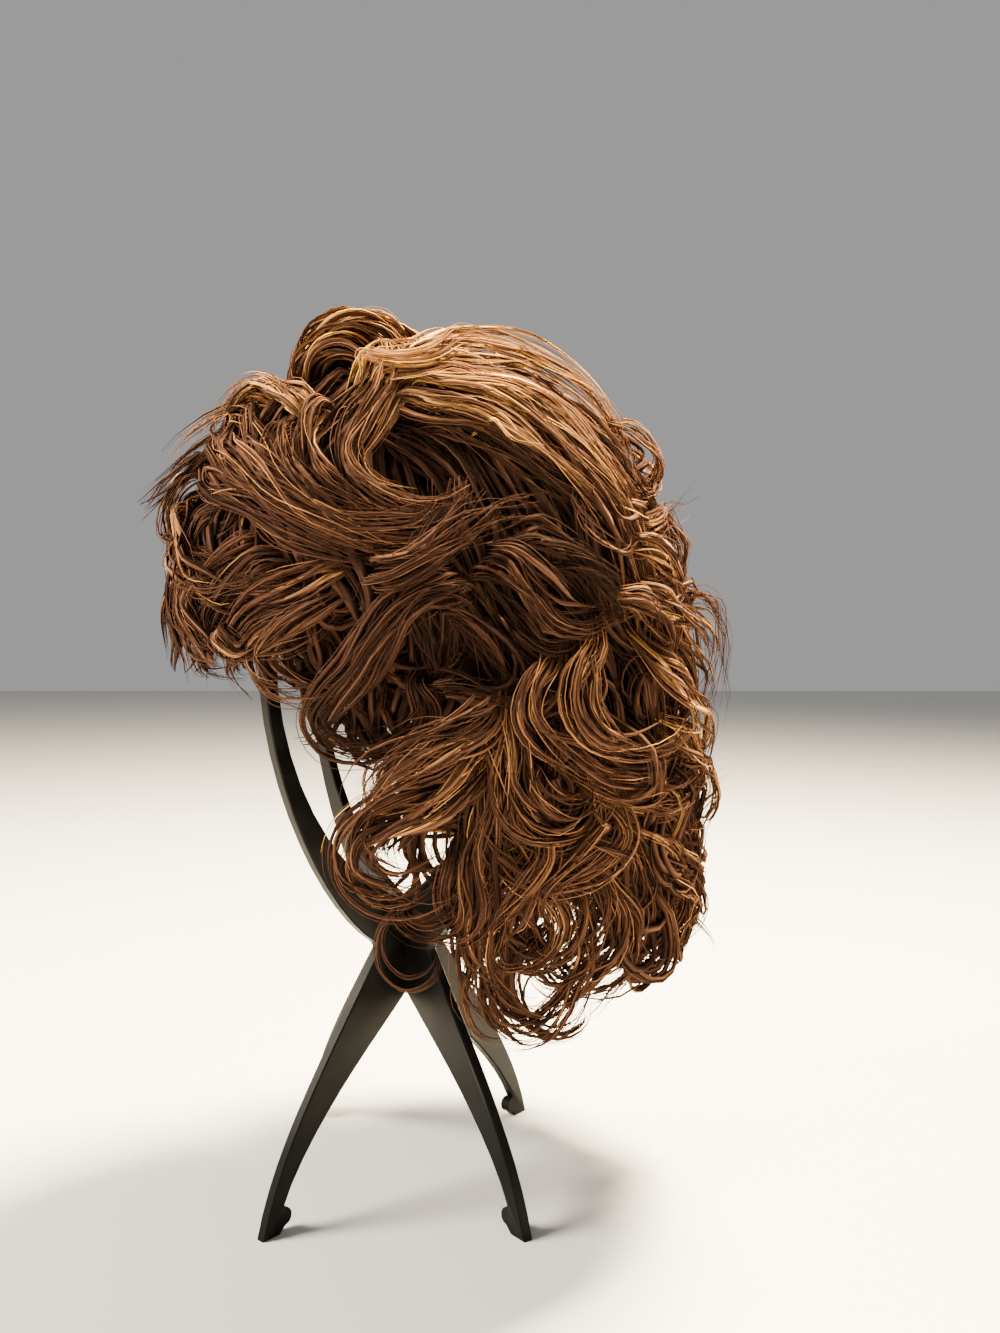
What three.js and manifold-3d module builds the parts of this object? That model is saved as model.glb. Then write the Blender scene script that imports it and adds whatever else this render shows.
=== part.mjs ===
// Short curly wig on its folding plastic stand.
// Millimetres, +Z up, the wig's forehead towards -Y and its left side towards +X.
// The stand's foot plane is z = 0, and the origin lies under the middle of the whole object.

import * as THREE from "three";
import { mergeVertices } from "three/addons/utils/BufferGeometryUtils.js";
import Module from "manifold-3d";

const wasm = await Module();
wasm.setup();

// Driving dimensions

const GAP = 0.4; // clearance between neighbouring pieces

const STAND = {
  height: 330,
  thickness: 4.5, // of each flat moulded frame
  edgeRound: 0.5,
  planeAngle: 40, // degrees from the X axis to each frame's plane
  bulbRadius: 77, // outside of the four arms at their widest
  bulbZ: 222,
  topBar: 7, // depth of an arm at the very top
  armWidth: 6, // depth of an arm at its widest point
  loopFloorZ: 117, // bottom of the opening inside the arms
  waistRadius: 16.5,
  waistZ: 99,
  crotchZ: 78, // top of the gap between the legs
  footRadius: 79,
  footLength: 8, // flat sole under each leg
  nubRadius: 3.5, // round stop on the inside of each foot
};

// The head form that the cap is sewn to: half an ellipsoid with a straight skirt below its equator.
const HEAD = {
  halfWidth: 76,
  halfLength: 93,
  centreY: 5, // the wig sits a little back on the stand
  equatorZ: 226,
  crownRise: 105.6,
  poleLean: 0.32, // how far the hair's whorl lies behind the top, as a slope
  skirtPerLevel: 100, // mm of drop for one level below the equator
};

const SWEEP = 22; // degrees that the side hair is combed back between the whorl and the equator
const SIDE_SLIMMING = 0.22; // share of the hair's depth that is missing over the ears

// The cap is a round crown patch and a ring of sewn panels.
const CAP = { wall: 1.5, panels: 8, crownEdge: 0.5 };

// Tables by angle from the forehead, in degrees: 0 is the front, 90 an ear, 180 the nape.

const CAP_RIM = [
  { angle: 0, z: 246 },
  { angle: 40, z: 241 },
  { angle: 75, z: 229 },
  { angle: 95, z: 212 },
  { angle: 115, z: 214 },
  { angle: 150, z: 196 },
  { angle: 180, z: 188 },
];

const FRINGE_HEM = [
  { angle: 0, z: 222 },
  { angle: 30, z: 212 },
  { angle: 50, z: 204 },
  { angle: 82, z: 196 },
];

const NAPE_HEM = [
  { angle: 82, z: 128 },
  { angle: 90, z: 108 },
  { angle: 110, z: 84 },
  { angle: 135, z: 80 },
  { angle: 180, z: 90 },
];

const NAPE_TOP_Z = 205; // where the hanging curls leave the cap

// Edges between the rings of hair, as levels: 0 at the whorl, 1 at the head's equator.
const RING_EDGES = {
  crown: { front: 0.13, back: 0.33 },
  upper: { front: 0.44, back: 0.58 },
  middle: { front: 0.72, back: 0.85 },
};

// One row for each run of hair sections. Azimuth runs from +X (left ear) through +Y (nape), in degrees.
// wall is the hair's depth at a section's edge, bulge what its middle adds,
// and tuck the share lost at its lower end.
const HAIR = [
  { name: "front_roll", count: 1, from: -128, to: -52, ring: "upper", wall: 19, bulge: 10, tuck: 0 },
  { name: "upper_left_wave", count: 1, from: -52, to: 40, ring: "upper", wall: 18, bulge: 6, tuck: 0 },
  { name: "upper_back_wave", count: 1, from: 40, to: 140, ring: "upper", wall: 18, bulge: 4, tuck: 0 },
  { name: "upper_right_wave", count: 1, from: 140, to: 232, ring: "upper", wall: 18, bulge: 6, tuck: 0 },
  { name: "brow_wave", count: 3, from: -135, to: -45, ring: "middle", wall: 18, bulge: 5, tuck: 0 },
  { name: "left_wave", count: 1, from: -45, to: 45, ring: "middle", wall: 19, bulge: 7, tuck: 0 },
  { name: "back_wave", count: 2, from: 45, to: 135, ring: "middle", wall: 20, bulge: 9, tuck: 0 },
  { name: "right_wave", count: 1, from: 135, to: 225, ring: "middle", wall: 19, bulge: 7, tuck: 0 },
  { name: "fringe_curl", count: 5, from: -140, to: -40, ring: "fringe", wall: 13, bulge: 3, tuck: 0.9 },
  { name: "left_temple_curl", count: 1, from: -40, to: -8, ring: "fringe", wall: 17, bulge: 5, tuck: 0.8 },
  { name: "left_ear_curl", count: 1, from: -8, to: 30, ring: "lower", wall: 18, bulge: 9, tuck: 0 },
  { name: "back_curl", count: 3, from: 30, to: 150, ring: "lower", wall: 24, bulge: 11, tuck: 0 },
  { name: "right_ear_curl", count: 1, from: 150, to: 188, ring: "lower", wall: 18, bulge: 9, tuck: 0 },
  { name: "right_temple_curl", count: 1, from: 188, to: 220, ring: "fringe", wall: 17, bulge: 5, tuck: 0.8 },
  { name: "nape_curl", count: 8, from: -8, to: 188, ring: "nape", wall: 27, bulge: 10, tuck: 0.4 },
];

const TUCK_POWER = 1.8; // how late the lower end draws in

const CROWN = { wall: 16, bulge: 6 };

// Grid steps across and down a patch; a section of hair has one step for so many degrees of its width.
const STEPS = { capCrown: [10, 10], capPanel: [4, 6], crown: [8, 8], sectionDegrees: 9, sectionDown: 6 };

const COLOURS = {
  hair: new THREE.MeshStandardMaterial({ color: 0x5a3820, roughness: 0.5, metalness: 0 }),
  cap: new THREE.MeshStandardMaterial({ color: 0x2a1a11, roughness: 0.9, metalness: 0 }),
  plastic: new THREE.MeshStandardMaterial({ color: 0x111111, roughness: 0.45, metalness: 0 }),
};

// Small helpers

function alongTable(table, angle) {
  const next = table.findIndex((row) => row.angle >= angle);
  if (next < 0) return table[table.length - 1].z;
  if (next === 0) return table[0].z;
  const [a, b] = [table[next - 1], table[next]];
  return THREE.MathUtils.mapLinear(angle, a.angle, b.angle, a.z, b.z);
}

function angleFromFront(azimuth) {
  const turn = THREE.MathUtils.euclideanModulo(azimuth + 90, 360);
  return Math.min(turn, 360 - turn);
}

function levelAt(z) {
  return 1 + (HEAD.equatorZ - z) / HEAD.skirtPerLevel;
}

function ringEdge(edge, azimuth) {
  const back = (1 + Math.sin(THREE.MathUtils.degToRad(azimuth))) / 2;
  return THREE.MathUtils.lerp(edge.front, edge.back, back);
}

// A point on the head form, moved out along its normal.
function headPoint(azimuth, level, out) {
  const a = THREE.MathUtils.degToRad(azimuth);
  const polar = (Math.min(level, 1) * Math.PI) / 2;
  const way = new THREE.Vector3(
    Math.sin(polar) * Math.cos(a),
    Math.sin(polar) * Math.sin(a) + HEAD.poleLean * Math.cos(polar),
    Math.cos(polar),
  ).normalize();
  const radii = new THREE.Vector3(HEAD.halfWidth, HEAD.halfLength, HEAD.crownRise);
  const normal = way.clone().divide(radii).normalize();
  const drop = Math.max(level - 1, 0) * HEAD.skirtPerLevel;
  return way
    .multiply(radii)
    .addScaledVector(normal, out)
    .add(new THREE.Vector3(0, HEAD.centreY, HEAD.equatorZ - drop));
}

// A closed solid between two faces that share one grid. Both are functions of u and v from 0 to 1.
function closedPatch([across, down], outer, inner) {
  const row = across + 1;
  const face = row * (down + 1);
  const places = [];
  for (const place of [outer, inner])
    for (let j = 0; j <= down; j++)
      for (let i = 0; i <= across; i++) places.push(...place(i / across, j / down).toArray());
  const index = [];
  const quad = (a, b, c, d) => index.push(a, b, c, a, c, d);
  for (let j = 0; j < down; j++)
    for (let i = 0; i < across; i++) {
      const k = j * row + i;
      quad(k, k + row, k + row + 1, k + 1);
      quad(face + k, face + k + 1, face + k + row + 1, face + k + row);
    }
  const wall = (a, b) => quad(a, b, face + b, face + a);
  for (let i = 0; i < across; i++) {
    wall(i, i + 1);
    wall(face - row + i + 1, face - row + i);
  }
  for (let j = 0; j < down; j++) {
    wall((j + 1) * row, j * row);
    wall(j * row + across, (j + 1) * row + across);
  }
  const made = new THREE.BufferGeometry();
  made.setAttribute("position", new THREE.Float32BufferAttribute(places, 3));
  made.setIndex(index);
  made.computeVertexNormals();
  return made;
}

// Azimuth and share of the radius for a point of the unit square laid on a round patch.
function squareToRound(u, v) {
  const x = 2 * u - 1;
  const y = 1 - 2 * v;
  const roundX = x * Math.sqrt(1 - (y * y) / 2);
  const roundY = y * Math.sqrt(1 - (x * x) / 2);
  return {
    azimuth: THREE.MathUtils.radToDeg(Math.atan2(roundY, roundX)),
    share: Math.hypot(roundX, roundY),
  };
}

function pillow(u, v) {
  return Math.sqrt(Math.sin(Math.PI * u) * Math.sin(Math.PI * v));
}

// The cap and the hair

const HAIR_INSIDE = CAP.wall + 2 * GAP;
const GAP_LEVEL = GAP / HEAD.skirtPerLevel;
const GAP_ANGLE = THREE.MathUtils.radToDeg(GAP / HEAD.halfWidth);

function makeCapCrown() {
  const place = (out) => (u, v) => {
    const { azimuth, share } = squareToRound(u, v);
    return headPoint(azimuth, share * (CAP.crownEdge - GAP_LEVEL), out);
  };
  return closedPatch(STEPS.capCrown, place(CAP.wall), place(0));
}

function makeCapPanel(from, to) {
  const place = (out) => (u, v) => {
    const azimuth = THREE.MathUtils.lerp(from, to - GAP_ANGLE, u);
    const rim = levelAt(alongTable(CAP_RIM, angleFromFront(azimuth)));
    return headPoint(azimuth, THREE.MathUtils.lerp(CAP.crownEdge, rim, v), out);
  };
  return closedPatch(STEPS.capPanel, place(CAP.wall), place(0));
}

function makeCrown() {
  const place = (outOf) => (u, v) => {
    const { azimuth, share } = squareToRound(u, v);
    const edge = ringEdge(RING_EDGES.crown, azimuth) - GAP_LEVEL;
    return headPoint(azimuth, share * edge, outOf(share));
  };
  const outside = (share) => HAIR_INSIDE + CROWN.wall + CROWN.bulge * (1 - share * share);
  return closedPatch(STEPS.crown, place(outside), place(() => HAIR_INSIDE));
}

// Top and bottom levels of each ring of hair at an azimuth
const RINGS = {
  upper: (azimuth) => [ringEdge(RING_EDGES.crown, azimuth), ringEdge(RING_EDGES.upper, azimuth)],
  middle: (azimuth) => [ringEdge(RING_EDGES.upper, azimuth), ringEdge(RING_EDGES.middle, azimuth)],
  fringe: (azimuth) => [
    ringEdge(RING_EDGES.middle, azimuth),
    levelAt(alongTable(FRINGE_HEM, angleFromFront(azimuth))),
  ],
  lower: (azimuth) => [ringEdge(RING_EDGES.middle, azimuth), levelAt(NAPE_TOP_Z)],
  nape: (azimuth) => [
    levelAt(NAPE_TOP_Z),
    levelAt(alongTable(NAPE_HEM, angleFromFront(azimuth))),
  ],
};

function makeSection(row, from, to) {
  const place = (depthOf) => (u, v) => {
    const azimuth = THREE.MathUtils.lerp(from, to - 2 * GAP_ANGLE, u);
    const sideways = Math.cos(THREE.MathUtils.degToRad(azimuth));
    const [top, bottom] = RINGS[row.ring](azimuth);
    const level = THREE.MathUtils.lerp(top, bottom - 2 * GAP_LEVEL, v);
    const combed = azimuth - SWEEP * sideways * Math.max(1 - level, 0);
    const slim = 1 - SIDE_SLIMMING * sideways * sideways;
    return headPoint(combed, level, HAIR_INSIDE + slim * depthOf(u, v));
  };
  const depth = (u, v) => row.wall * (1 - row.tuck * v ** TUCK_POWER) + row.bulge * pillow(u, v);
  const across = Math.max(4, Math.round((to - from) / STEPS.sectionDegrees));
  return closedPatch([across, STEPS.sectionDown], place(depth), place(() => 0));
}

// The stand

function solidOf(geometry) {
  const bare = geometry.clone();
  bare.deleteAttribute("normal");
  bare.deleteAttribute("uv");
  const merged = mergeVertices(bare, 1e-4);
  return new wasm.Manifold(
    new wasm.Mesh({
      numProp: 3,
      vertProperties: new Float32Array(merged.attributes.position.array),
      triVerts: new Uint32Array(merged.index.array),
    }),
  );
}

function geometryOf(solid) {
  const mesh = solid.getMesh();
  const made = new THREE.BufferGeometry();
  made.setAttribute("position", new THREE.BufferAttribute(mesh.vertProperties, 3));
  made.setIndex(new THREE.BufferAttribute(mesh.triVerts, 1));
  made.computeVertexNormals();
  return made;
}

const point = (x, y) => new THREE.Vector2(x, y);

// Points along a run of curves, each end point once.
function pointsAlong(curves) {
  return curves.flatMap(({ curve, steps }, i) => curve.getPoints(steps).slice(i ? 1 : 0));
}

function mirrored(half) {
  return half
    .slice()
    .reverse()
    .filter((p) => Math.abs(p.x) > 1e-6)
    .map((p) => point(-p.x, p.y));
}

// Right half of the frame's outside, from the top down to the foot and back up to the crotch.
function frameOutside() {
  const s = STAND;
  const waist = { x: 20, rise: 3 };
  const nub = point(68.5, 6);
  const sole = s.footRadius - s.footLength;
  return pointsAlong([
    {
      curve: new THREE.EllipseCurve(0, s.bulbZ, s.bulbRadius, s.height - s.bulbZ, Math.PI / 2, 0, true),
      steps: 14,
    },
    {
      curve: new THREE.CubicBezierCurve(
        point(s.bulbRadius, s.bulbZ),
        point(s.bulbRadius, 170),
        point(45, 118),
        point(waist.x, s.waistZ + waist.rise),
      ),
      steps: 12,
    },
    {
      curve: new THREE.QuadraticBezierCurve(
        point(waist.x, s.waistZ + waist.rise),
        point(s.waistRadius, s.waistZ),
        point(waist.x, s.waistZ - waist.rise),
      ),
      steps: 3,
    },
    {
      curve: new THREE.CubicBezierCurve(
        point(waist.x, s.waistZ - waist.rise),
        point(40, 68),
        point(71, 34),
        point(s.footRadius, 0),
      ),
      steps: 12,
    },
    { curve: new THREE.LineCurve(point(s.footRadius, 0), point(sole, 0)), steps: 1 },
    {
      curve: new THREE.EllipseCurve(
        nub.x, nub.y, s.nubRadius, s.nubRadius,
        THREE.MathUtils.degToRad(-60), THREE.MathUtils.degToRad(75), true,
      ),
      steps: 7,
    },
    {
      curve: new THREE.CubicBezierCurve(
        point(nub.x + 1, nub.y + s.nubRadius), point(56, 36), point(24, 59), point(5, s.crotchZ - 3),
      ),
      steps: 10,
    },
    {
      curve: new THREE.QuadraticBezierCurve(
        point(5, s.crotchZ - 3), point(2, s.crotchZ), point(0, s.crotchZ),
      ),
      steps: 3,
    },
  ]);
}

// Right half of the opening inside the arms, from the top down.
function frameInside() {
  const s = STAND;
  const widest = s.bulbRadius - s.armWidth;
  return pointsAlong([
    {
      curve: new THREE.EllipseCurve(0, s.bulbZ, widest, s.height - s.topBar - s.bulbZ, Math.PI / 2, 0, true),
      steps: 12,
    },
    {
      curve: new THREE.CubicBezierCurve(
        point(widest, s.bulbZ), point(widest, 178), point(44, 134), point(8, s.loopFloorZ + 2),
      ),
      steps: 10,
    },
    {
      curve: new THREE.QuadraticBezierCurve(
        point(8, s.loopFloorZ + 2), point(3, s.loopFloorZ), point(0, s.loopFloorZ),
      ),
      steps: 3,
    },
  ]);
}

// A flat moulded frame in the XZ plane.
function framePlate() {
  const outside = frameOutside();
  const inside = frameInside();
  const shape = new THREE.Shape([...outside, ...mirrored(outside)]);
  shape.holes.push(new THREE.Path([...inside, ...mirrored(inside)].reverse()));
  const round = STAND.edgeRound;
  const plate = new THREE.ExtrudeGeometry(shape, {
    depth: STAND.thickness - 2 * round,
    bevelThickness: round,
    bevelSize: round,
    bevelOffset: -round,
    bevelSegments: 1,
  });
  plate.translate(0, 0, round - STAND.thickness / 2);
  return plate.rotateX(Math.PI / 2);
}

// A box that makes room for the other frame, from z = low to z = high.
function crossSlot(low, high, turn) {
  const width = STAND.thickness + 2 * GAP;
  const length = 4 * STAND.waistRadius;
  const box = new THREE.BoxGeometry(length, width, high - low);
  return box.translate(0, 0, (low + high) / 2).rotateZ(turn);
}

// The first frame holds the second one between its top bar and its waist, so that they turn to fold flat.
function makeFrame(side) {
  const turn = THREE.MathUtils.degToRad(STAND.planeAngle);
  const otherTurn = -2 * side * turn;
  const beyond = 30;
  const topMiddle = STAND.height - STAND.topBar / 2;
  const waistMiddle = (STAND.crotchZ + STAND.loopFloorZ) / 2;
  const half = GAP / 2;
  const slots =
    side > 0
      ? [
          [topMiddle - beyond, topMiddle + half],
          [waistMiddle - half, waistMiddle + beyond],
        ]
      : [
          [topMiddle - half, topMiddle + beyond],
          [waistMiddle - beyond, waistMiddle + half],
        ];
  const cut = slots.reduce(
    (plate, [low, high]) => plate.subtract(solidOf(crossSlot(low, high, otherTurn))),
    solidOf(framePlate()),
  );
  return geometryOf(cut).rotateZ(side * turn);
}

// The assembly

function addPiece(group, name, geometry, material) {
  const mesh = new THREE.Mesh(geometry, material);
  mesh.name = name;
  group.add(mesh);
}

const stand = new THREE.Group();
addPiece(stand, "stand_frame_outer", makeFrame(1), COLOURS.plastic);
addPiece(stand, "stand_frame_inner", makeFrame(-1), COLOURS.plastic);

const wig = new THREE.Group();
addPiece(wig, "cap_crown", makeCapCrown(), COLOURS.cap);
for (let i = 0; i < CAP.panels; i++) {
  const width = 360 / CAP.panels;
  const from = (i - 0.5) * width;
  addPiece(wig, `cap_panel_${i + 1}`, makeCapPanel(from, from + width), COLOURS.cap);
}
addPiece(wig, "crown_hair", makeCrown(), COLOURS.hair);
for (const row of HAIR) {
  const width = (row.to - row.from) / row.count;
  for (let i = 0; i < row.count; i++) {
    const name = row.count > 1 ? `${row.name}_${i + 1}` : row.name;
    const from = row.from + i * width;
    addPiece(wig, name, makeSection(row, from, from + width), COLOURS.hair);
  }
}

const object = new THREE.Group();
object.add(stand, wig);

// The origin goes under the middle of the whole, on the foot plane.
const box = new THREE.Box3().setFromObject(object, true);
const middle = box.getCenter(new THREE.Vector3());
object.position.set(-middle.x, -middle.y, -box.min.z);

const part = new THREE.Group();
part.add(object);

export default part;
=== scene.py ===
import math

import bpy
import numpy as np
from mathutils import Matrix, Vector


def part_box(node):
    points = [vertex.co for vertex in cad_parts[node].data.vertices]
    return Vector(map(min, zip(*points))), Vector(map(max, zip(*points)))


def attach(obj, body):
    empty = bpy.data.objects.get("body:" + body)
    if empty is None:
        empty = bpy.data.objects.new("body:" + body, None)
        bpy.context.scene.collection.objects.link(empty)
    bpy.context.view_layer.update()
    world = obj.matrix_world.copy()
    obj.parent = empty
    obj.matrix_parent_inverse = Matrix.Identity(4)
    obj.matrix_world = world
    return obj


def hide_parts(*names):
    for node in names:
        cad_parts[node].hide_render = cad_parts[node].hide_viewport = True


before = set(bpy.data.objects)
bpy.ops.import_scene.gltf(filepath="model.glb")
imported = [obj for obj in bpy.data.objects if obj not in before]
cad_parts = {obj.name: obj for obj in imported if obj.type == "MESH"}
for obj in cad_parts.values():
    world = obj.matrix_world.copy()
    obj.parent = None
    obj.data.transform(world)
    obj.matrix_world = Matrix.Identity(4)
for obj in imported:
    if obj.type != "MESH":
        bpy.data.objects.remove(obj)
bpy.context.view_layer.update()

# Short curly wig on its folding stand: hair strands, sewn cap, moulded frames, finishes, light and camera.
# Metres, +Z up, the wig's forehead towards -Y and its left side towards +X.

MM = 0.001
FULL_TURN = 2 * math.pi
LEFT, RIGHT = 1, -1
SEED = 20
ZONE_SEEDS = 1000
ROLL_SEEDS = 2000

# The head form that the hair lies on, measured from the stand's axis

stand_low, stand_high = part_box("stand_frame_outer")
AXIS = np.array([(stand_low.x + stand_high.x) / 2, (stand_low.y + stand_high.y) / 2, 0.0])
HEAD_RADII = np.array([76.0, 93.0, 105.6]) * MM
HEAD_CENTRE = AXIS + np.array([0.0, 5.0, 226.0]) * MM
WHORL = HEAD_CENTRE + np.array([0.0, -6.0, 112.0]) * MM
ROOT_LIFT = 3.0 * MM
LEAST_LIFT = 2.6 * MM

# Hair starts to hang at this height over the head's equator, and hangs straight this far below that
HANG_START = 50 * MM
HANG_REACH = 80 * MM

# The camera stands at the wig's left and looks a little down

CAMERA_PLACE = AXIS + np.array([489.0, 40.0, 230.5]) * MM
CAMERA_PITCH = math.radians(1.72)
CAMERA_LENS = 31.06
CAMERA_SENSOR = 36.0

# A line of sight is searched for the head form from short of the stand's axis to past it
SIGHT_SPAN = (0.70, 1.06)
SIGHT_STEPS = 361

# Single strands, and the narrow flat clumps of them that a lock is made of

TONES = 64
STRAND_SIDES = 3
STRAND_RADIUS = 0.19 * MM
LOCK_STRAND_SIZES = (0.75, 1.2)
ZONE_STRAND_SIZES = (0.8, 1.3)
STRAIGHT_STEP = 14 * MM
BEND_STEP = math.radians(23)
PATH_POINTS = (8, 34)
CLUMP_TONES = 16
CLUMP_SIDES = 3
CLUMP_PITCH = 1.8
CLUMP_HALF_WIDTH = (0.75 * MM, 1.45 * MM)
CLUMP_FLATNESS = 0.42
CLUMP_LEAN = 0.5
CLUMP_TWIST = 1.0
CLUMP_TONE = 0.45
CLUMP_TONE_SCATTER = 0.13

# A strand whose first step rises more than this share of its length has its corners set from sideways
STEEP = 0.9

# The tone map has the strands in its lower half and the clumps in its upper half, each tone in a band
UPPER_HALF = 0.5
STRAND_BAND = (0.15, 0.85)
CLUMP_BAND = (0.04, 0.96)

# The size at the root, the share of the length over which it comes to full size, the share of the size that
# is lost at the tip, and where along the length that loss starts
LOCK_TAPER = dict(root=0.6, widens=0.3, lost=0.5, narrows=0.5)
CLUMP_TAPER = dict(root=0.35, widens=0.2, lost=0.9, narrows=0.58)
STRAND_TAPER = dict(root=0.6, widens=0.12, lost=0.8, narrows=0.72)
BARREL_TAPER = dict(root=1.18, widens=0.2, lost=0.5, narrows=0.3)

# How the clumps and strands of a lock lie about its guide. A lock narrower than the full width, in
# millimetres, wanders less. Places across it are shares of its half width, reaches shares of its length.

FULL_WIDTH = 10
EDGE_SPOT = 0.85
SPOT_SCATTER = 0.12
LAYER_DEPTH = 0.5
EDGE_DEPTH = 0.1
ROOT_STAGGER = 0.06
END_LOSS = 0.4
END_STRAY = (-0.02, 0.06)
LEAST_END = 0.4
DRIFT_WAVES = (0.5, 1.4)
RIPPLE_WAVES = (0.6, 2.0)
RIPPLE_SHARE = 0.6
SIDE_WANDER = dict(wander=0.28, scatter=1.1 * MM)
DEPTH_WANDER = dict(wander=0.18, scatter=0.7 * MM)
SCATTER_REACH = 0.2
TIP_FLICK = 2.2 * MM
FLICK_START = 0.6
FLYAWAY_SHARE = 0.13
FLYAWAY_STRAY = 3.5
FLYAWAY_TONE = 0.12

# How far a lock's root sinks towards the cap, as a share of its lift, and over what share of its length
ROOT_DIVES = dict(crown=(0.75, 0.22), brow=(0.95, 0.13), fringe=(0.9, 0.2), side=(0.9, 0.2),
                  back=(0.7, 0.25), nape=(0.6, 0.3))

# How far the clumps of a lock wind about its guide, in millimetres, and the length of one winding
WINDING = dict(crown=0.7, brow=1.3, fringe=1.7, side=1.8, back=2.0, nape=2.4, roll=2.0)
WINDING_LENGTH = 52 * MM
WINDING_SIZES = (0.4, 1.4)
WINDING_REACH = 0.25
WINDING_STRAY = 0.08

# The wig's right side mirrors its left, with fewer strands and each lock moved a little
SIDE_SHARES = {LEFT: 0.85, RIGHT: 0.4}
FAR_TURN = math.radians(5)
FAR_SHIFT = 4 * MM
FAR_SCATTER = 2 * MM

# Locks that give the hair its shape. A path runs from root to tip through (back, up) places in millimetres,
# as the camera sees them on the plane through the stand's axis. Width and lift are real millimetres.
# Tone runs from 0, dark brown, to 1, gold, and body is how full the lock's clumps are. Tone is partly the
# hair's own mix and partly painted light: lighter on top of the crown where the light falls, and darker in
# hollows as painted shade.


def lock(group, width, lift, strands, tone, path, body=1.0):
    return dict(group=group, width=width, lift=lift, strands=strands, tone=tone, path=path, body=body)


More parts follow.
